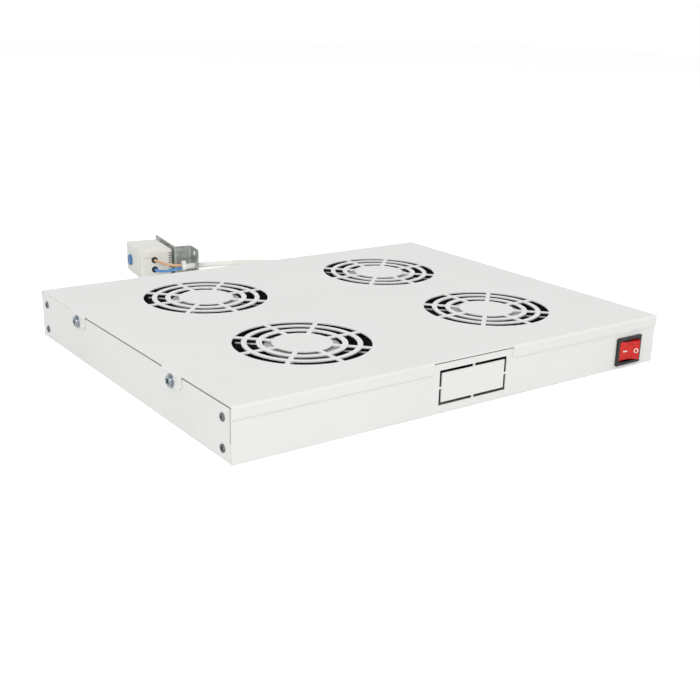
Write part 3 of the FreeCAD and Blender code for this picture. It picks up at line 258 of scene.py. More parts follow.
def moulded(name, dark, light, rough=(0.4, 0.5), grain=0.0006, relief=0.00003,
            patch=0.012, subsurface=0.0):
    """Injection-moulded or extruded plastic: nearly even colour over a fine spark-eroded grain."""
    material, tree, place, shader = start(name)
    colour = ramp(tree, noise(tree, place, patch, 3), [(0.3, linear(dark)), (0.7, linear(light))])
    tree.links.new(colour, shader.inputs["Base Color"])
    fine = noise(tree, place, grain, 4, 0.6)
    rough_between(tree, shader, fine, *rough)
    bumped(tree, shader, fine, relief)
    shader.inputs["IOR"].default_value = 1.5
    if subsurface:
        shader.inputs["Subsurface Weight"].default_value = subsurface
        shader.inputs["Subsurface Radius"].default_value = (0.004, 0.002, 0.0015)
        shader.inputs["Subsurface Scale"].default_value = 0.4
    return material


def metal(name, dark, light, rough=(0.25, 0.4), patch=0.004, stretch=(1, 1, 1), relief=0.00001,
          metallic=1.0):
    """Bare or plated metal with a drawn or turned grain along the stretch."""
    material, tree, place, shader = start(name)
    lay = stretched(tree, place, stretch)
    grain = noise(tree, lay, patch, 5, 0.65)
    colour = ramp(tree, grain, [(0.3, linear(dark)), (0.7, linear(light))])
    tree.links.new(colour, shader.inputs["Base Color"])
    shader.inputs["Metallic"].default_value = metallic
    rough_between(tree, shader, grain, *rough)
    bumped(tree, shader, grain, relief)
    return material


def powder_coat(settings, name="powder_coat_satin_light_grey", shade=None):
    """The sheet metal's paint; shade(tree, place) may give a factor that darkens it."""
    # Polyester powder coat on steel sheet: satin, with a soft orange peel about 2 mm across and
    # a speckle finer than a millimetre, drawn a little coarse so that it shows.
    material, tree, place, shader = start(name)
    base = list(settings.powder) + [1.0]
    paler = [min(1.0, v * 1.035) for v in settings.powder] + [1.0]
    darker = [v * 0.965 for v in settings.powder] + [1.0]
    cloud = noise(tree, place, 0.09, 2)
    speckle = noise(tree, place, 0.0009, 3, 0.6)
    broad = ramp(tree, cloud, [(0.3, darker), (0.7, base)])
    flecks = ramp(tree, speckle, [(0.35, darker), (0.65, paler)])
    mixed = add(tree, "ShaderNodeMix", data_type="RGBA", blend_type="MIX")
    mixed.inputs["Factor"].default_value = 0.35
    tree.links.new(broad, mixed.inputs["A"])
    tree.links.new(flecks, mixed.inputs["B"])
    colour = mixed.outputs["Result"]
    if shade:
        # Painted shade: the paint is mixed towards dark grey 55564F where the shade mask is set.
        dull = add(tree, "ShaderNodeMix", [("Factor", shade(tree, place)), ("A", colour)],
                   [("B", linear("55564F"))], data_type="RGBA", blend_type="MIX")
        colour = dull.outputs["Result"]
    tree.links.new(colour, shader.inputs["Base Color"])
    peel = noise(tree, place, settings.coat_grain, 2, 0.5)
    rough_between(tree, shader, peel, 0.36, 0.46)
    bumped(tree, shader, peel, 0.00006, 0.6)
    shader.inputs["IOR"].default_value = 1.5
    return material


def painted_seam_shade(tree, place):
    """The pan's top folds and the front ends of its walls, in the shade of their seams."""
    axes = add(tree, "ShaderNodeSeparateXYZ", [("Vector", place)])
    ahead = before(tree, axes.outputs["Y"], FOLD_SHADE_BACK)
    fold = both(tree, beyond(tree, axes.outputs["Z"], FOLD_SHADE_FOOT), ahead)
    end = both(tree, beyond(tree, axes.outputs["Z"], END_SHADE_FOOT),
               before(tree, axes.outputs["Y"], END_SHADE_BACK))
    seam = add(tree, "ShaderNodeMath", [(0, fold), (1, end)], operation="MAXIMUM").outputs[0]
    return add(tree, "ShaderNodeMath", [(0, seam)], [(1, 0.8)],
               operation="MULTIPLY").outputs[0]


def both(tree, first, second):
    return add(tree, "ShaderNodeMath", [(0, first), (1, second)],
               operation="MULTIPLY").outputs[0]


def before(tree, value, limit):
    """One where value is short of a limit in millimetres, else nought."""
    return add(tree, "ShaderNodeMath", [(0, value)], [(1, limit * MM)],
               operation="LESS_THAN").outputs[0]


def beyond(tree, value, limit):
    """One where value is past a limit in millimetres, else nought."""
    return add(tree, "ShaderNodeMath", [(0, value)], [(1, limit * MM)],
               operation="GREATER_THAN").outputs[0]


def galvanised():
    # Hot-dip galvanised steel strip: zinc spangle 3 to 7 mm across, dull and slightly blue.
    material, tree, place, shader = start("galvanised_steel_spangle")
    warp = add(tree, "ShaderNodeTexNoise", [("Vector", place)], [("Scale", 180.0)])
    shifted = add(tree, "ShaderNodeMix", [("A", place), ("B", warp.outputs["Color"])],
                  data_type="VECTOR")
    shifted.inputs["Factor"].default_value = 0.004
    cells = add(tree, "ShaderNodeTexVoronoi", [("Vector", shifted.outputs[1])],
                [("Scale", 1 / 0.005)])
    tone = add(tree, "ShaderNodeSeparateColor", [("Color", cells.outputs["Color"])]).outputs[0]
    colour = ramp(tree, tone, [(0.0, linear("A3A8A5")), (0.5, linear("B3B8B3")),
                               (1.0, linear("C3C7C2"))])
    tree.links.new(colour, shader.inputs["Base Color"])
    shader.inputs["Metallic"].default_value = 0.85
    rough_between(tree, shader, tone, 0.34, 0.52)
    bumped(tree, shader, noise(tree, place, 0.0015, 3), 0.00003)
    return material


def foil():
    # Matt aluminised polyester label, left blank, with the faint lines of the winding.
    material, tree, place, shader = start("label_foil_matt_aluminised")
    lines = noise(tree, stretched(tree, place, (1, 14, 1)), 0.03, 3)
    colour = ramp(tree, lines, [(0.3, linear("A6A9A8")), (0.7, linear("CDCFCD"))])
    tree.links.new(colour, shader.inputs["Base Color"])
    shader.inputs["Metallic"].default_value = 0.35
    rough_between(tree, shader, lines, 0.35, 0.5)
    bumped(tree, shader, noise(tree, place, 0.0008, 2), 0.00001)
    return material


def rocker_red(settings):
    # Clear red polycarbonate over a lamp well: glossy, deep, and lit a little from within.
    material, tree, place, shader = start("polycarbonate_clear_red")
    red = list(settings.rocker) + [1.0]
    deep = [v * 0.72 for v in settings.rocker] + [1.0]
    cloud = noise(tree, place, 0.006, 2)
    tree.links.new(ramp(tree, cloud, [(0.3, deep), (0.62, red)]), shader.inputs["Base Color"])
    shader.inputs["IOR"].default_value = 1.46
    shader.inputs["Subsurface Weight"].default_value = 0.25
    shader.inputs["Subsurface Radius"].default_value = (0.006, 0.001, 0.0006)
    shader.inputs["Subsurface Scale"].default_value = 0.4
    rough_between(tree, shader, noise(tree, place, 0.002, 2), 0.2, 0.3)
    bumped(tree, shader, noise(tree, place, 0.0012, 2), 0.00001)
    return material


def cable_sheath(name, dark, light, lay, rough=(0.38, 0.5)):
    """Extruded PVC: smooth, with an even fine grain lay metres across."""
    return moulded(name, dark, light, rough, grain=lay, relief=0.00004, patch=0.02)


def make_materials():
    """One material for every slot of the record."""
    settings = bpy.context.scene.fan_tray_finish
    across = (1, 1, 9)
    return {
        "powder_coat": powder_coat(settings),
        # The pan's paint, darkened by painted shade along its seams.
        "coat_pan": powder_coat(settings, "powder_coat_pan_with_painted_shade", painted_seam_shade),
        # Near-white along the crests of the cast struts: a painted highlight where they catch the
        # light.
        "strut_painted_highlight": metal("strut_top_painted_highlight", "DADBDC", "F2F2F2", (0.4, 0.55),
                             0.001, metallic=0.1),
        # Mild steel strip for the corner brackets, made dark as painted shade for the seams at the
        # tray's corners.
        "corner_steel_painted_shade": metal("mild_steel_darkened_as_painted_shade", "4E504F", "6A6C6A", (0.45, 0.6), 0.002),
        "galvanised_sheet": galvanised(),
        # Bright zinc plate with a blue passivate.
        "zinc_plate": metal("zinc_plate_blue_passivated", "868E96", "BAC2CA", (0.22, 0.34)),
        # Nickel-plated steel, a shade warmer and darker.
        "nickel_screw": metal("nickel_plate_satin", "5C5D60", "8C8D8F", (0.24, 0.36)),
        # Die-cast aluminium under black e-coat.
        "fan_alloy": moulded("die_cast_black_e_coat", "0D0E0F", "151618", (0.5, 0.64), 0.001,
                             0.00006),
        # Glass-filled PBT, dull from its fibres.
        "impeller_plastic": moulded("glass_filled_pbt_black", "0D0E0F", "161719", (0.5, 0.64)),
        "stator_iron": metal("silicon_steel_laminations", "4A4C50", "74777C", (0.4, 0.6),
                             0.0006, across),
        "ground_steel": metal("bearing_steel_ground", "8E9296", "BFC3C6", (0.15, 0.28),
                              0.0012, across),
        "label_foil": foil(),
        "brass_tin": metal("tinned_brass", "A9A48F", "D9D5C5", (0.25, 0.42)),
        "lead_black": cable_sheath("pvc_black", "141416", "222225", 0.0012),
        "lead_green": cable_sheath("pvc_green", "3F7A2E", "5A9A45", 0.001),
        "cable_white": cable_sheath("pvc_white", "E4E3DD", "F1F0EC", 0.0014),
        "block_plastic": moulded("polyamide_natural", "D8D6C8", "EAE8DD"),
        "switch_black": moulded("polyamide_black_satin", "131416", "1F2123", (0.3, 0.42)),
        "rocker_red": rocker_red(settings),
        "inlet_black": moulded("polyamide_black_matt", "111214", "1C1D1F", (0.45, 0.58)),
        "gland_black": moulded("polyamide_black_ribbed", "141517", "222326", (0.38, 0.5)),
        "seal_rubber": moulded("neoprene_black", "161617", "202122", (0.6, 0.72)),
        "thermostat_white": moulded("abs_off_white", "DFDED7", "E8E7E0", (0.3, 0.42), 0.0007,
                                    0.00004, subsurface=0.05),
        "dial_blue": moulded("abs_blue", "3F6FA6", "5A8AC2", (0.3, 0.42)),
        "tie_white": moulded("polyamide_tie_natural", "EDECE6", "FAF9F5", (0.3, 0.4),
                             subsurface=0.1),
        "wire_brown": cable_sheath("pvc_light_brown", "C89A72", "E2BA96", 0.0008),
        "wire_blue": cable_sheath("pvc_light_blue", "3F7CC2", "6BA3DC", 0.0008),
    }


MATERIALS = {}


def finish_with(obj, slot):
    obj.data.materials.clear()
    obj.data.materials.append(MATERIALS[slot])


def belongs(obj, slot, body=CASE):
    """Gives a new piece the finish of a record slot and the body it rides on."""
    finish_with(obj, slot)
    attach(obj, body)


# ---- small modelling helpers -----------------------------------------------------------------
def clear_selection():
    active = bpy.context.view_layer.objects.active
    if active and active.mode != "OBJECT":
        bpy.ops.object.mode_set(mode="OBJECT")
    bpy.ops.object.select_all(action="DESELECT")


def only(obj):
    clear_selection()
    obj.select_set(True)
    bpy.context.view_layer.objects.active = obj


def settle(obj, smooth=35):
    """Puts the object's place into its mesh and smooths its shallow edges."""
    only(obj)
    bpy.ops.object.transform_apply(location=True, rotation=True, scale=True)
    bpy.ops.object.shade_smooth_by_angle(angle=math.radians(smooth))


def pick_edges(obj, test):
    """Selects, in edit mode, the edges for which test(first point, second point) is true."""
    only(obj)
    bpy.ops.object.mode_set(mode="EDIT")
    bpy.ops.mesh.select_mode(type="EDGE")
    bpy.ops.mesh.select_all(action="DESELECT")
    bpy.ops.object.mode_set(mode="OBJECT")
    points = obj.data.vertices
    for edge in obj.data.edges:
        edge.select = test(*(points[i].co for i in edge.vertices))
    bpy.ops.object.mode_set(mode="EDIT")


def pick_faces(obj, test):
    """Selects, in edit mode, the faces for which test(centre, normal) is true."""
    only(obj)
    bpy.ops.object.mode_set(mode="EDIT")
    bpy.ops.mesh.select_mode(type="FACE")
    bpy.ops.mesh.select_all(action="DESELECT")
    bpy.ops.object.mode_set(mode="OBJECT")
    for face in obj.data.polygons:
        face.select = test(face.center, face.normal)
    bpy.ops.object.mode_set(mode="EDIT")


def bevel_edges(obj, test, width, segments=3):
    pick_edges(obj, test)
    bpy.ops.mesh.bevel(offset=width, segments=segments, profile=0.5, affect="EDGES")
    bpy.ops.object.mode_set(mode="OBJECT")


def use_modifier(obj, kind, **settings):
    """Adds a modifier, sets it and applies it."""
    only(obj)
    modifier = obj.modifiers.new(kind.lower(), kind)
    for key, value in settings.items():
        setattr(modifier, key, value)
    bpy.ops.object.modifier_apply(modifier=modifier.name)


def carve(obj, cutter):
    """Cuts cutter out of obj and removes it."""
    use_modifier(obj, "BOOLEAN", object=cutter, operation="DIFFERENCE", solver="EXACT")
    bpy.data.objects.remove(cutter)


def box(name, low, high):
    """A block between two corners, in metres."""
    clear_selection()
    middle = [(a + b) / 2 for a, b in zip(low, high)]
    bpy.ops.mesh.primitive_cube_add(size=1, location=middle)
    obj = bpy.context.active_object
    obj.name = name
    obj.scale = [b - a for a, b in zip(low, high)]
    bpy.ops.object.transform_apply(location=True, rotation=True, scale=True)
    return obj


def disc(name, radius, depth, place=(0, 0, 0), sides=48):
    """A cylinder standing on place along +Z."""
    clear_selection()
    middle = (place[0], place[1], place[2] + depth / 2)
    bpy.ops.mesh.primitive_cylinder_add(vertices=sides, radius=radius, depth=depth,
                                        location=middle)
    obj = bpy.context.active_object
    obj.name = name
    bpy.ops.object.transform_apply(location=True, rotation=True, scale=True)
    return obj


def joined(name, objects):
    """One object from several."""
    clear_selection()
    for obj in objects:
        obj.select_set(True)
    bpy.context.view_layer.objects.active = objects[0]
    bpy.ops.object.join()
    objects[0].name = name
    return objects[0]


def copied(obj, matrix):
    """A copy with its own mesh, moved by matrix."""
    twin = obj.copy()
    twin.data = obj.data.copy()
    bpy.context.collection.objects.link(twin)
    twin.data.transform(matrix)
    return twin


def facing(direction, place):
    """The matrix that turns +Z to direction and moves the origin to place."""
    turn = Vector(direction).to_track_quat("Z", "Y").to_matrix().to_4x4()
    return Matrix.Translation(Vector(place)) @ turn


# ---- pieces ------------------------------------------------------------------------------------
def recessed_screw(radius, height, shank, flange=None):
    """A cross-recessed screw along -Z, its head, or the flange under it, standing on z = 0."""
    thick, deep, length = FLANGE_THICK * MM, DEEP * MM, SHANK_LENGTH * MM
    base = thick if flange else 0.0
    head = disc("screw", radius, height, (0, 0, base))
    top = base + height
    bevel_edges(head, lambda a, b: min(a.z, b.z) > top - TINY, height * 0.62, 6)
    arm = radius * 0.6
    slit = radius * 0.15
    floor = max(top - RECESS * MM, 0.1 * MM - deep)
    for across, along in ((arm, slit), (slit, arm)):
        carve(head, box("arm", (-across, -along, floor), (across, along, top + deep)))
    carve(head, disc("well", slit * 2.2, top + deep - floor, (0, 0, floor), 16))
    pieces = [head, disc("stem", shank, length, (0, 0, -length - deep), 24)]
    if flange:
        washer = disc("flange", flange, thick)
        bevel_edges(washer, lambda a, b: min(a.z, b.z) > thick - TINY, 0.3 * MM, 3)
        pieces.append(washer)
    return joined("screw", pieces)


def screw_set(name, pattern, places, slot, node):
    """Copies of pattern at (place, outward direction) pairs, as one piece."""
    made = [copied(pattern, facing(direction, place) @ Matrix.Rotation(turn, 4, "Z"))
            for place, direction, turn in places]
    bpy.data.objects.remove(pattern)
    piece = joined(name, made)
    settle(piece, 40)
    belongs(piece, slot)
    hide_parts(node)
    return piece


def side_places(line, face=HALF_WIDTH):
    """Places on both side faces for (y, z) pairs, each screw turned its own way."""
    places = []
    for side in (-1, 1):
        for i, (y, z) in enumerate(line):
            place = (side * face * MM, y * MM, z * MM)
            places.append((place, (side, 0, 0), 0.4 + 0.9 * i + side))
    return places


class FANTRAY_OT_camera(bpy.types.Operator):
    """Places the camera at the catalogue view, front left of the tray and a little above"""
    bl_idname = "fantray.camera"
    bl_label = "Camera"

    def execute(self, context):
        azimuth, elevation, roll = (math.radians(v) for v in CAMERA_TURN)
        back = Vector((math.sin(azimuth) * math.cos(elevation),
                       -math.cos(azimuth) * math.cos(elevation), math.sin(elevation)))
        right = (-back).cross(Vector((0, 0, 1))).normalized()
        up = right.cross(-back)
        tilted_right = right * math.cos(roll) + up * math.sin(roll)
        tilted_up = up * math.cos(roll) - right * math.sin(roll)
        data = bpy.data.cameras.new("camera")
        data.sensor_width = 36.0
        data.lens = CAMERA_LENS
        data.clip_start = 0.01
        data.clip_end = 50.0
        camera = bpy.data.objects.new("camera", data)
        context.scene.collection.objects.link(camera)
        turn = Matrix((tilted_right, tilted_up, back)).transposed().to_4x4()
        camera.matrix_world = Matrix.Translation(Vector(CAMERA_SPOT) * MM) @ turn
        context.scene.camera = camera
        return {"FINISHED"}


def cord_curve(name, points, diameter):
    """A round cord of one smooth spline with the route's points, in metres."""
    curve = bpy.data.curves.new(name, "CURVE")
    curve.dimensions = "3D"
    curve.bevel_depth = diameter / 2
    curve.bevel_resolution = 8
    curve.resolution_u = 24
    curve.use_fill_caps = True
    spline = curve.splines.new("NURBS")
    spline.points.add(len(points) - 1)
    for point, place in zip(spline.points, points):
        point.co = (*place, 1)
    spline.order_u = 3
    spline.use_endpoint_u = True
    obj = bpy.data.objects.new(name, curve)
    bpy.context.scene.collection.objects.link(obj)
    return obj


class FANTRAY_OT_cords(bpy.types.Operator):
    """Lays the thermostat's two wires and its sheathed cable"""
    bl_idname = "fantray.cords"
    bl_label = "Thermostat cable and wires"

    def execute(self, context):
        sizes = context.scene.fan_tray_fittings
        cable = cord_curve("sheathed_cable", [Vector(p) * MM for p in CABLE], sizes.cable)
        belongs(cable, "cable_white")
        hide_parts("thermostat_cable")
        for colour, route, length in (("brown", WIRE_BROWN, 0.0409), ("blue", WIRE_BLUE, 0.0402)):
            points = [from_thermostat(*p) * MM for p in route]
            wire = cord_curve(colour + "_wire", points, sizes.wire)
            belongs(wire, "wire_" + colour)
            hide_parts("wire_" + colour)
        return {"FINISHED"}


class FANTRAY_OT_finishes(bpy.types.Operator):
    """Gives every solid of the tray its finish"""
    bl_idname = "fantray.finishes"
    bl_label = "Finishes"

    def execute(self, context):
        slots = {p["node"]: p["material_slot"] for p in frame["record"]["subparts"]}
        # The pan's paint carries painted seam shade, and the corner brackets take dark steel as
        # painted shade for the corner seams.
        special = {"base_pan": "coat_pan", "corner_brackets": "corner_steel_painted_shade"}
        for node, obj in frame["nodes"].items():
            finish_with(obj, special.get(node, slots[node]))
        return {"FINISHED"}


class FANTRAY_OT_side_screws(bpy.types.Operator):
    """Models the recessed screws on both side walls"""
    bl_idname = "fantray.side_screws"
    bl_label = "Side screws"

    def execute(self, context):
        sizes = context.scene.fan_tray_fittings
        corner = recessed_screw(sizes.corner_head, CORNER_HEAD_RISE * MM, CORNER_SHANK * MM)
        screw_set("corner_screw_set", corner, side_places(CORNER_SCREWS), "nickel_screw",
                  "panel_screws")
        cover = recessed_screw(sizes.cover_head, COVER_HEAD_RISE * MM, COVER_SHANK * MM,
                               sizes.cover_flange)
        screw_set("cover_screw_set", cover, side_places(COVER_SCREWS, TAB_FACE), "zinc_plate",
                  "cover_screws")
        return {"FINISHED"}


def push(distance):
    """Extrudes the picked faces along Y and leaves edit mode."""
    bpy.ops.mesh.extrude_region_move(TRANSFORM_OT_translate={"value": (0, distance, 0)})
    bpy.ops.object.mode_set(mode="OBJECT")


def on_front(point):
    """Whether a point of the rocker, about the switch's middle, lies on a front face."""
    angle = math.radians(RAISED_ANGLE if point.x > 0 else PRESSED_ANGLE)
    behind = point.y - VALLEY_DEPTH * MM
    return abs(point.x * math.sin(angle) + behind * math.cos(angle)) < 5 * TINY


def on_bezel_outline(point):
    """Whether a point lies on the outline of the bezel's front face."""
    x, y, z = (v * MM for v in SWITCH)
    wide, tall = (v / 2 * MM for v in BEZEL)
    near = (BEZEL_CORNER + 0.1) * MM
    return point.y < y + TINY and (abs(point.x - x) > wide - near
                                   or abs(point.z - z) > tall - near)


class FANTRAY_OT_switch(bpy.types.Operator):
    """Models the rocker switch: housing, funnelled bezel and rocker"""
    bl_idname = "fantray.switch"
    bl_label = "Rocker switch"

    def execute(self, context):
        self.housing()
        self.rocker()
        return {"FINISHED"}

    def housing(self):
        # One closed shell: bezel, funnel, well and the body behind the panel.
        x, y, z = (v * MM for v in SWITCH)
        wide, tall = (v / 2 * MM for v in BEZEL)
        back = y + BEZEL_THICK * MM
        shell = box("switch_housing", (x - wide, y, z - tall), (x + wide, back, z + tall))
        pick_faces(shell, lambda centre, normal: normal.y > 0.99)
        bpy.ops.mesh.inset(thickness=HOUSING_INSET * MM)
        push((SWITCH_DEPTH - BEZEL_THICK) * MM)
        pick_faces(shell, lambda centre, normal: normal.y < -0.99)
        bpy.ops.mesh.inset(thickness=BEZEL_BAND * MM)
        narrower, deeper = FUNNEL
        bpy.ops.mesh.inset(thickness=narrower * MM, depth=-deeper * MM)
        push(WELL_DEPTH * MM)
        bevel_edges(shell, lambda a, b: abs(a.y - b.y) > MM and abs(a.x - x) > wide - TINY,
                    BEZEL_CORNER * MM, 4)
        bevel_edges(shell, lambda a, b: on_bezel_outline(a) and on_bezel_outline(b),
                    BEZEL_RIM * MM, 3)
        settle(shell, 40)
        belongs(shell, "switch_black")
        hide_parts("switch_body")

    def rocker(self):
        # A drum about the pivot, its front cut to two flat faces that meet at a shallow valley.
        drum = disc("rocker_cap", ROCKER_RADIUS * MM, ROCKER_HEIGHT * MM, sides=128)
        drum.data.transform(Matrix.Translation((0, PIVOT_DEPTH * MM, -ROCKER_HEIGHT / 2 * MM)))
        valley = Matrix.Translation((0, VALLEY_DEPTH * MM, 0))
        far = 2 * BEZEL[0] * MM
        for angle, low, high in ((-PRESSED_ANGLE, -far, 0), (-RAISED_ANGLE, 0, far)):
            cutter = box("front", (low, -far, -far), (high, 0, far))
            cutter.data.transform(valley @ Matrix.Rotation(math.radians(angle), 4, "Z"))
            carve(drum, cutter)
        bevel_edges(drum, lambda a, b: on_front(a) and on_front(b)
                    and abs(a.x + b.x) > 0.2 * MM, ROCKER_EDGE * MM, 4)
        drum.data.transform(Matrix.Translation(Vector(SWITCH) * MM))
        settle(drum, 30)
        belongs(drum, "rocker_red", "rocker")
        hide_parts("switch_rocker")


class FANTRAY_OT_marks(bpy.types.Operator):
    """Prints the I and O marks on the rocker"""
    bl_idname = "fantray.marks"
    bl_label = "Switch marks"

    def execute(self, context):
        foot, top = MARK_FOOT * MM, MARK_TOP * MM
        long, wide, corner = (v * MM for v in DASH)
        dash = box("mark_on", (-long / 2, -wide / 2, foot), (long / 2, wide / 2, top))
        bevel_edges(dash, lambda a, b: abs(a.z - b.z) > 10 * TINY, corner, 3)
        dash.data.transform(self.on_face(-1, PRESSED_ANGLE, DASH_REACH))
        outer, inner = (v * MM for v in RING)
        ring = disc("mark_off", outer, top - foot, (0, 0, foot))
        carve(ring, disc("hole", inner, MM, (0, 0, -MM / 2)))
        ring.data.transform(self.on_face(1, RAISED_ANGLE, RING_REACH))
        for mark in (dash, ring):
            settle(mark, 30)
            belongs(mark, "tie_white", "rocker")
        return {"FINISHED"}

    def on_face(self, side, degrees, reach):
        """The place on the rocker's left (-1) or right (1) face, reach from the valley."""
        angle = math.radians(degrees)
        valley = Vector(SWITCH) + Vector((0, VALLEY_DEPTH, MARK_HEIGHT))
        along = Vector((side * math.cos(angle), -side * math.sin(angle), 0))
        outward = (-math.sin(angle), -math.cos(angle), 0)
        return facing(outward, (valley + along * reach) * MM)


class FANTRAY_OT_fan_hubs(bpy.types.Operator):
    """Models the label caps over the fan hubs and the ridges on the struts, finished as a painted
    highlight
    """
    bl_idname = "fantray.fan_hubs"
    bl_label = "Fan hubs and struts"

    def execute(self, context):
        self.labels()
        self.ridges()
        return {"FINISHED"}

    def labels(self):
        radius, low, top = LABEL_CAP
        caps = []
        for x, y in FAN_CENTRES:
            cap = disc("cap", radius * MM, (top - low) * MM, (x * MM, y * MM, low * MM), 96)
            bevel_edges(cap, lambda a, b: min(a.z, b.z) > top * MM - TINY, LABEL_EDGE * MM, 4)
            caps.append(cap)
        labels = joined("hub_labels", caps)
        settle(labels, 40)
        belongs(labels, "label_foil")
        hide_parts("fan_labels")

    def ridges(self):
        inner, outer, width, height = (v * MM for v in STRUT_RIDGE)
        ridges = []
        for x, y in FAN_CENTRES:
            for quarter in range(4):
                ridge = box("ridge", (inner, -width / 2, height - RIDGE_DEPTH * MM),
                            (outer, width / 2, height))
                turn = Matrix.Rotation(math.radians(STRUT_ANGLE + 90 * quarter), 4, "Z")
                ridge.data.transform(Matrix.Translation((x * MM, y * MM, 0)) @ turn)
                ridges.append(ridge)
        struts = joined("strut_ridges", ridges)
        bevel_edges(struts, lambda a, b: min(a.z, b.z) > height - TINY, RIDGE_EDGE * MM, 2)
        settle(struts, 40)
        belongs(struts, "fan_alloy")
        # The ridges take a near-white finish: a painted highlight along the struts.
        finish_with(struts, "strut_painted_highlight")


class FANTRAY_OT_thermostat(bpy.types.Operator):
    """Models black strips behind the thermostat's vents as painted shade, and the wires' grommets
    """
    bl_idname = "fantray.thermostat"
    bl_label = "Thermostat details"

    def execute(self, context):
        strips = []
        for low, high in VENT_SHADE_ENDS:
            near, far = zip(VENT_SHADE_ACROSS, (low, high), VENT_SHADE_UP)
            strips.append(box("strip", Vector(near) * MM, Vector(far) * MM))
        radius, length, proud, edge = (v * MM for v in GROMMET)
        rings = []
        for (across, _, height), *_ in (WIRE_BROWN, WIRE_BLUE):
            ring = disc("ring", radius, length, (0, 0, proud - length), 40)
            bevel_edges(ring, lambda a, b: min(a.z, b.z) > proud - 0.1 * MM, edge, 3)
            ring.data.transform(facing((0, -1, 0), (across * MM, 0, height * MM)))
            rings.append(ring)
        place = Matrix.Translation((THERMOSTAT[0] * MM, THERMOSTAT[1] * MM, 0))
        # The black strips stand for the shade inside the vents: painted shade.
        for piece, slot in ((joined("vent_painted_shade", strips), "switch_black"),
                            (joined("wire_grommets", rings), "seal_rubber")):
            piece.data.transform(place @ thermostat_turn())
            settle(piece, 30)
            belongs(piece, slot)
        return {"FINISHED"}


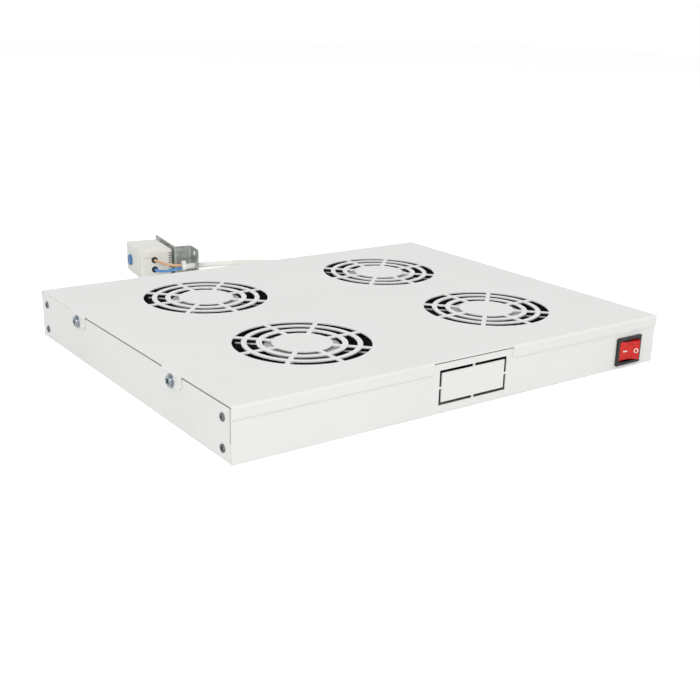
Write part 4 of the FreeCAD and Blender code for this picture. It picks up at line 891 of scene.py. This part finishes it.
class FANTRAY_OT_stage(bpy.types.Operator):
    """Sets the plain pale floor, the soft lamps and the world"""
    bl_idname = "fantray.stage"
    bl_label = "Studio"

    def execute(self, context):
        scene = context.scene
        scene.view_settings.view_transform = "Standard"
        clear_selection()
        bpy.ops.mesh.primitive_plane_add(size=FLOOR_SIZE, location=(0, 0, -FLOOR_DROP * MM))
        floor = context.active_object
        floor.name = "floor"
        bpy.ops.object.transform_apply(location=True, rotation=True, scale=True)
        floor.data.materials.append(self.floor_material())
        for name, place, size, power in LAMPS:
            lamp = bpy.data.lights.new(name, "AREA")
            lamp.size = size
            lamp.energy = power
            light = bpy.data.objects.new(name, lamp)
            scene.collection.objects.link(light)
            light.location = place
            light.rotation_euler = (-Vector(place)).to_track_quat("-Z", "Y").to_euler()
        self.world(scene)
        return {"FINISHED"}

    def floor_material(self):
        # Seamless white paper: matt, and bright enough for the camera to read as white.
        material = bpy.data.materials.new("studio_paper_white")
        material.use_nodes = True
        tree = material.node_tree
        tree.nodes.clear()
        paper = add(tree, "ShaderNodeBsdfDiffuse", values=[("Color", linear("F4F4F3"))])
        rays = add(tree, "ShaderNodeLightPath")
        seen = add(tree, "ShaderNodeMath", [(0, rays.outputs["Is Camera Ray"])],
                   [(1, FLOOR_GLOW)], operation="MULTIPLY")
        glow = add(tree, "ShaderNodeEmission", [("Strength", seen.outputs[0])])
        lit = add(tree, "ShaderNodeAddShader", [(0, paper.outputs[0]), (1, glow.outputs[0])])
        add(tree, "ShaderNodeOutputMaterial", [("Surface", lit.outputs[0])])
        return material

    def world(self, scene):
        # White where it is seen straight or in a gloss, softer where it lights the tray.
        world = bpy.data.worlds.new("studio")
        scene.world = world
        world.use_nodes = True
        tree = world.node_tree
        tree.nodes.clear()
        rays = add(tree, "ShaderNodeLightPath").outputs
        seen = add(tree, "ShaderNodeMath", [(0, rays["Is Camera Ray"]),
                                            (1, rays["Is Glossy Ray"])], operation="MAXIMUM")
        through = add(tree, "ShaderNodeMath", [(0, seen.outputs[0]),
                                               (1, rays["Is Transmission Ray"])],
                      operation="MAXIMUM")
        strength = add(tree, "ShaderNodeMapRange", [("Value", through.outputs[0])],
                       [("To Min", WORLD_LIGHT), ("To Max", 1.0)])
        # The studio's ceiling is darker than its walls, and only glosses show that.
        way = add(tree, "ShaderNodeSeparateXYZ",
                  [("Vector", add(tree, "ShaderNodeTexCoord").outputs["Object"])])
        ceiling = add(tree, "ShaderNodeMapRange", [("Value", way.outputs["Z"])],
                      [("From Min", 0.35), ("From Max", 0.85), ("To Min", 0.0), ("To Max", 0.7)])
        dim = add(tree, "ShaderNodeMath", [(0, ceiling.outputs["Result"]),
                                           (1, rays["Is Glossy Ray"])], operation="MULTIPLY")
        shaded = add(tree, "ShaderNodeMath", [(0, strength.outputs["Result"]),
                                              (1, dim.outputs[0])], operation="SUBTRACT")
        sky = add(tree, "ShaderNodeBackground", [("Strength", shaded.outputs[0])],
                  [("Color", (1, 1, 1, 1))])
        add(tree, "ShaderNodeOutputWorld", [("Surface", sky.outputs[0])])


STEPS = (FANTRAY_OT_camera, FANTRAY_OT_cords, FANTRAY_OT_finishes, FANTRAY_OT_side_screws,
         FANTRAY_OT_switch, FANTRAY_OT_marks, FANTRAY_OT_fan_hubs, FANTRAY_OT_thermostat,
         FANTRAY_OT_stage)


class FANTRAY_PT_panel(bpy.types.Panel):
    """Lists the tray's steps and the values that they use"""
    bl_idname = "FANTRAY_PT_panel"
    bl_label = "Fan Tray"
    bl_space_type = "VIEW_3D"
    bl_region_type = "UI"
    bl_category = "Fan Tray"

    def draw(self, context):
        for group in (context.scene.fan_tray_finish, context.scene.fan_tray_fittings):
            for name in group.__annotations__:
                self.layout.prop(group, name)
        for step in STEPS:
            self.layout.operator(step.bl_idname)


CLASSES = (FanTrayFinish, FanTrayFittings) + STEPS + (FANTRAY_PT_panel,)


def register():
    for item in CLASSES:
        bpy.utils.register_class(item)
    bpy.types.Scene.fan_tray_finish = PointerProperty(type=FanTrayFinish)
    bpy.types.Scene.fan_tray_fittings = PointerProperty(type=FanTrayFittings)


def unregister():
    del bpy.types.Scene.fan_tray_fittings
    del bpy.types.Scene.fan_tray_finish
    for item in reversed(CLASSES):
        bpy.utils.unregister_class(item)


def main():
    register()
    MATERIALS.update(make_materials())
    bpy.ops.fantray.camera()
    bpy.ops.fantray.cords()
    bpy.ops.fantray.finishes()
    bpy.ops.fantray.side_screws()
    bpy.ops.fantray.switch()
    bpy.ops.fantray.marks()
    bpy.ops.fantray.fan_hubs()
    bpy.ops.fantray.thermostat()
    bpy.ops.fantray.stage()


if __name__ == "__main__":
    main()
